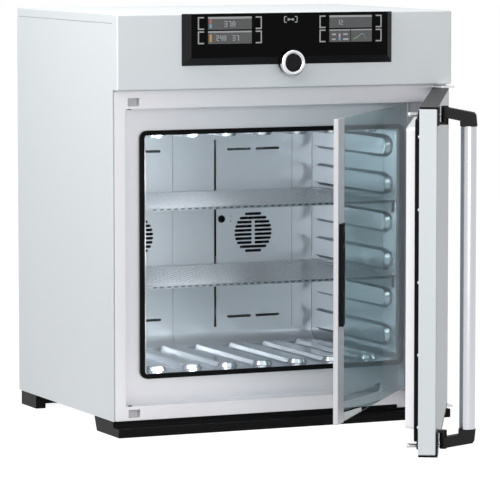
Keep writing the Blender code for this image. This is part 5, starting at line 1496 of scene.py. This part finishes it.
    def marks(self) -> None:
        """Two small rivets beside the sensor, and a thin dark line of painted shade along the fold near the
        panel's side.
        """
        for i, z in enumerate(self.rivets):
            rivet = dome_screw(f"sensor_rivet_{i}", *self.rivet_size)
            rivet.obj.rotation_euler = (math.pi, 0.0, 0.0)
            rivet.obj.location = (self.rivet_x, self.panel_face - FOOT_GAP, z)
            rivet.settle().smooth(weighted=False).dress(DARK_STEEL, "cabinet")
        # Thin dark plate: painted shade of the fold's crease.
        fold = Piece.plate("back_panel_fold_shade", round_rect(*self.fold, 0.0001, 1), Axis.Y, *self.fold_y)
        fold.dress(SLOT_SHADE, "cabinet")

    def build(self) -> None:
        """Build the chamber."""
        self.liner()
        self.back_panels()
        self.marks()
        refine(SILICONE, "cabinet", "chamber_seal", width=0.0024, segments=4)
        refine(GLASS_FILLED_NYLON, "cabinet", "temperature_sensor")
        for side in ("left", "right"):
            for spot in ("chamber", "rear"):
                fan = f"{spot}_fan_{side}"
                refine(GLASS_FILLED_NYLON, fan, fan, width=0.0003, segments=1)
            paint(GLASS_FILLED_NYLON, "chamber_fan_motor_" + side)
            paint(CERAMIC, "peltier_module_" + side)
        refine(GLASS_FILLED_NYLON, "cabinet", "rear_fan_frame", segments=1)
        paint(EXTRUDED_SINK, "hot_sink", "power_supply")
        # Cold sink near black: painted shade of the unlit space behind the grilles.
        paint(SHADED_COLD_SINK, "cold_sink")
        paint(DARK_STEEL, "electronics_tray")
        paint(MINERAL_WOOL, "insulation", "door_insulation")


@dataclass
class Shelves:
    """Perforated shelves with folded edges.

    Attributes:
        pitch: Distance between holes.
        hole: Hole radius.
        wall: Sheet thickness.
        lip: Height of the front and back fold.
        border: Unperforated edge.
        seam: Distance within which two cells' borders grow together.
        slot_width: Width of the small slots along the front fold.
        slot_height: Their height.
        slot_round: Radius of their corners.
        slot_y: Front and back of their painted shade patches from the fold's face.
    """

    pitch: float = 0.0154
    hole: float = 0.0049
    wall: float = 0.0015
    lip: float = 0.006
    border: float = 0.010
    seam: float = 0.00005
    slot_width: float = 0.0085
    slot_height: float = 0.0026
    slot_round: float = 0.0008
    slot_y: Pair = (-0.00012, -0.00004)

    def cell(self, name: str, corner: Vector) -> Piece:
        """One cell of the perforated sheet with its round hole.

        Args:
            name: Object name.
            corner: The cell's corner with the lowest X and Y.

        Returns:
            The flat cell.
        """
        half = self.pitch / 2
        centre = corner + Vector((half, half, 0.0))
        rim = [(centre.x + half * u, centre.y + half * v) for u, v in
               ((1, 0), (1, 1), (0, 1), (-1, 1), (-1, 0), (-1, -1), (0, -1), (1, -1))]
        piece = Piece.plate(name, rim, Axis.Z, corner.z, corner.z)
        piece.pick(lambda middle, normal: True)
        bpy.ops.mesh.inset(thickness=half - self.hole)
        bpy.ops.object.mode_set(mode="OBJECT")
        for vertex in piece.obj.data.vertices:
            away = vertex.co - centre
            if max(abs(away.x), abs(away.y)) < half - self.seam:
                vertex.co = centre + away.normalized() * self.hole
        piece.pick(lambda middle, normal: (middle - centre).length < self.seam)
        bpy.ops.mesh.delete(type="FACE")
        bpy.ops.object.mode_set(mode="OBJECT")
        return piece

    def sheet(self, name: str, low: Vector, high: Vector) -> Piece:
        """Perforated sheet built from one cell by two arrays.

        Args:
            name: Object name.
            low: Lowest corner of the shelf's box.
            high: Highest corner.

        Returns:
            The sheet with its folds, without thickness.
        """
        counts = [int((high[i] - low[i] - 2 * self.border) / self.pitch) for i in (0, 1)]
        start = [(low[i] + high[i]) / 2 - counts[i] * self.pitch / 2 for i in (0, 1)]
        piece = self.cell(name, Vector((*start, high[2])))
        for count, step in zip(counts, ((self.pitch, 0.0, 0.0), (0.0, self.pitch, 0.0))):
            piece.repeat(count, step, self.seam)
        self.folds(piece, low, high)
        return piece

    def folds(self, piece: Piece, low: Vector, high: Vector) -> None:
        """Extrude the sheet's border out to the folds and turn the folds down.

        Args:
            piece: The perforated sheet.
            low: Lowest corner of the shelf's box.
            high: Highest corner.
        """
        for index, fold in ((0, high[2] - low[2]), (1, self.lip)):
            places = [vertex.co[index] for vertex in piece.obj.data.vertices]
            for near, far in ((min(places), low[index]), (max(places), high[index])):
                reach = Vector((0.0, 0.0, 0.0))
                reach[index] = far - near

                def border(a: Vector, b: Vector, index: int = index, near: float = near) -> bool:
                    """Say whether an edge lies on this side's border."""
                    return abs(a[index] - near) < SAME_CORNER and abs(b[index] - near) < SAME_CORNER

                piece.pick(border, edges=True)
                for move in (reach, (0.0, 0.0, -fold)):
                    bpy.ops.mesh.extrude_region_move(TRANSFORM_OT_translate={"value": move})
                bpy.ops.object.mode_set(mode="OBJECT")
        with piece.editing():
            bpy.ops.mesh.remove_doubles(threshold=SAME_CORNER)
            bpy.ops.mesh.normals_make_consistent(inside=False)

    def slots(self, name: str, low: Vector, high: Vector) -> None:
        """Row of small slots along a shelf's front fold, shown as dark patches of painted shade.

        Args:
            name: Which shelf, upper or lower.
            low: Lowest corner of its box.
            high: Highest corner.
        """
        count = int((high[0] - low[0] - 2 * self.border) / self.pitch)
        start = (low[0] + high[0] - (count - 1) * self.pitch) / 2
        top, half = high[2] - self.wall, self.slot_width / 2
        outline = round_rect(start - half, start + half, top - self.slot_height, top, self.slot_round, 2)
        front, back = self.slot_y
        # Dark patches just in front of the fold's face: painted shade of the slots, not holes.
        piece = Piece.plate("shelf_slot_shade_" + name, outline, Axis.Y, low[1] + front, low[1] + back)
        piece.repeat(count, (self.pitch, 0.0, 0.0)).dress(SLOT_SHADE, name + "_shelf")

    def build(self) -> None:
        """Build both shelves."""
        for name in ("upper", "lower"):
            node = "shelf_" + name
            low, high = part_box(node)
            piece = self.sheet(node + "_finish", low, high)
            up = sum(p.normal.z for p in piece.obj.data.polygons)
            piece.apply("SOLIDIFY", thickness=self.wall, offset=-1.0 if up > 0 else 1.0)
            piece.smooth(30.0, False).dress(SHELF_STEEL, name + "_shelf", node)
            self.slots(name, low, high)


# Doors


@dataclass
class OuterDoor:
    """Insulated outer door with its inner panel, seal and small trim.

    Attributes:
        screw_rows: Heights of the inner panel's screws.
        screw_x: Distance of the screws from the middle of the shut door.
        screw_radius: Radius of their heads.
        screw_height: Height of their heads.
        panel: The inner panel's face on Y with the door shut.
        bush_x: Left and right end of the oval bushes round the latch rods.
        bush_size: Height and thickness of the bushes.
        bush_wall: Wall of the bushes at their ends.
        bush_gap: Height of the hole through them.
        bush_cut: Reach of the tool that cuts it, from the inner panel's face.
        bush_edge: Rounding of their edges.
    """

    screw_rows: tuple[float, ...] = (0.0834, 0.2201, 0.3568, 0.4935, 0.6302)
    screw_x: float = 0.365
    screw_radius: float = 0.0030
    screw_height: float = 0.0026
    panel: float = -0.0092
    bush_x: Pair = (-0.3398, -0.3132)
    bush_size: Pair = (0.0150, 0.0042)
    bush_wall: float = 0.0040
    bush_gap: float = 0.0100
    bush_cut: Pair = (-0.003, 0.008)
    bush_edge: float = 0.0008

    def screws(self) -> None:
        """Dome screws along both edges of the inner panel."""
        spots = [(x, self.panel + FOOT_GAP, z) for x in (-self.screw_x, self.screw_x)
                 for z in self.screw_rows]
        screws = screw_set("door_panel_screws", spots, self.screw_radius, self.screw_height)
        screws.swing().smooth(weighted=False).dress(DARK_STEEL, "outer_door")

    def bushes(self) -> None:
        """Oval bushes round the latch rods."""
        (left, right), (height, thick), wall = self.bush_x, self.bush_size, self.bush_wall
        start, end = (self.panel + reach for reach in self.bush_cut)
        for label, z in LATCHES:
            bush = Piece.plate("latch_bush_" + label, slot_outline(left, right, z, height, 10), Axis.Y,
                               self.panel + FOOT_GAP, self.panel + thick)
            opening = slot_outline(left + wall, right - wall, z, self.bush_gap, 10)
            bush.carve(Piece.plate("bush_hole", opening, Axis.Y, start, end))
            bush.round_edges(self.bush_edge, 3).smooth()
            bush.swing().dress(GLASS_FILLED_NYLON, "outer_door")

    def build(self) -> None:
        """Build the door."""
        refine(DOOR_SHEET, "outer_door", "door_shell")
        refine(GROUND_STEEL, "outer_door", "door_inner_panel")
        refine(SILICONE, "outer_door", "door_seal", width=0.0020, segments=4)
        refine(BLACK_ABS, "outer_door", "door_cap_top", "door_cap_bottom", width=0.0005)
        refine(GLASS_FILLED_NYLON, "outer_door", "handle_bracket_top", "handle_bracket_bottom",
               width=0.0006, angle=40.0)
        refine(GROUND_STEEL, "cabinet", "hinge_plate_top", "hinge_plate_bottom", width=0.0005, angle=40.0)
        self.screws()
        self.bushes()


@dataclass
class LatchLever:
    """Lever: arms, tube and latch rods.

    Attributes:
        axis: X and Y of the tube's axis with the door shut.
        tube_radius: Radius of the tube.
        tube_edge: Rounding of the tube's ends.
        rod_radius: Radius of the latch rods.
        rod_span: Start and tip of the rods on Y with the door shut.
        rod_head: The rods' heads, as growth of the radius and distance from the tip.
    """

    axis: Pair = (-0.331, -0.1002)
    tube_radius: float = 0.015
    tube_edge: float = 0.0006
    rod_radius: float = 0.00375
    rod_span: Pair = (-0.0480, 0.0138)
    rod_head: tuple[Pair, ...] = ((0.0, 0.0060), (0.00065, 0.0050), (0.00065, 0.0012), (0.0, 0.0003),
                                  (-0.0012, 0.0))

    def tube(self) -> None:
        """Round tube with softly turned ends."""
        low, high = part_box("handle_tube")
        r, edge, z0, z1 = self.tube_radius, self.tube_edge, low[2], high[2]
        profile = [(0.0, z0), (r - edge, z0), (r, z0 + edge), (r, z1 - edge), (r - edge, z1), (0.0, z1)]
        piece = Piece.turned("handle_tube_finish", profile, Axis.Z, *self.axis, 96)
        piece.swing().smooth(40.0, False).dress(ANODISED_TUBE, "lever", "handle_tube")

    def rods(self) -> None:
        """Latch rods with rounded tips."""
        r, (start, tip) = self.rod_radius, self.rod_span
        profile = [(0.0, start), (r, start)] + [(r + grow, tip - back) for grow, back in self.rod_head]
        for label, z in LATCHES:
            node = "latch_rod_" + label
            rod = Piece.turned(node + "_finish", profile + [(0.0, tip)], Axis.Y, self.axis[0], z, 40)
            rod.swing().smooth(40.0, False).dress(DARK_STEEL, "lever", node)

    def build(self) -> None:
        """Build the lever."""
        refine(GLASS_FILLED_NYLON, "lever", "handle_arm_top", "handle_arm_bottom", width=0.0022, segments=4,
               angle=25.0)
        self.tube()
        self.rods()


@dataclass
class GlassDoor:
    """Inner glass door: pane, edge profile, grip and clips.

    Attributes:
        pane_edge: Rounding of the pane's ground edge.
    """

    pane_edge: float = 0.0006

    def build(self) -> None:
        """Build the glass door."""
        refine(CLEAR_PANE, "glass_door", "glass_pane", width=self.pane_edge)
        refine(EDGE_PROFILE, "glass_door", "glass_profile", width=0.0003)
        refine(BLACK_ABS, "glass_door", "glass_grip", width=0.0008, segments=3)
        refine(KEEPER_PLASTIC, "glass_door", "glass_clip_top", "glass_clip_bottom", angle=40.0)


def main() -> None:
    """Build the studio and every sub-assembly in order."""
    logging.basicConfig(level=logging.INFO, format="%(name)s %(message)s")
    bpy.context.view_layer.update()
    for assembly in (Studio(), Housing(), ControlPanel(), Dial(), Chamber(), Shelves(), OuterDoor(),
                     LatchLever(), GlassDoor()):
        assembly.build()
        log.info("%s built", type(assembly).__name__)
    clear_selection()
    bpy.context.view_layer.update()


if __name__ == "__main__":
    main()
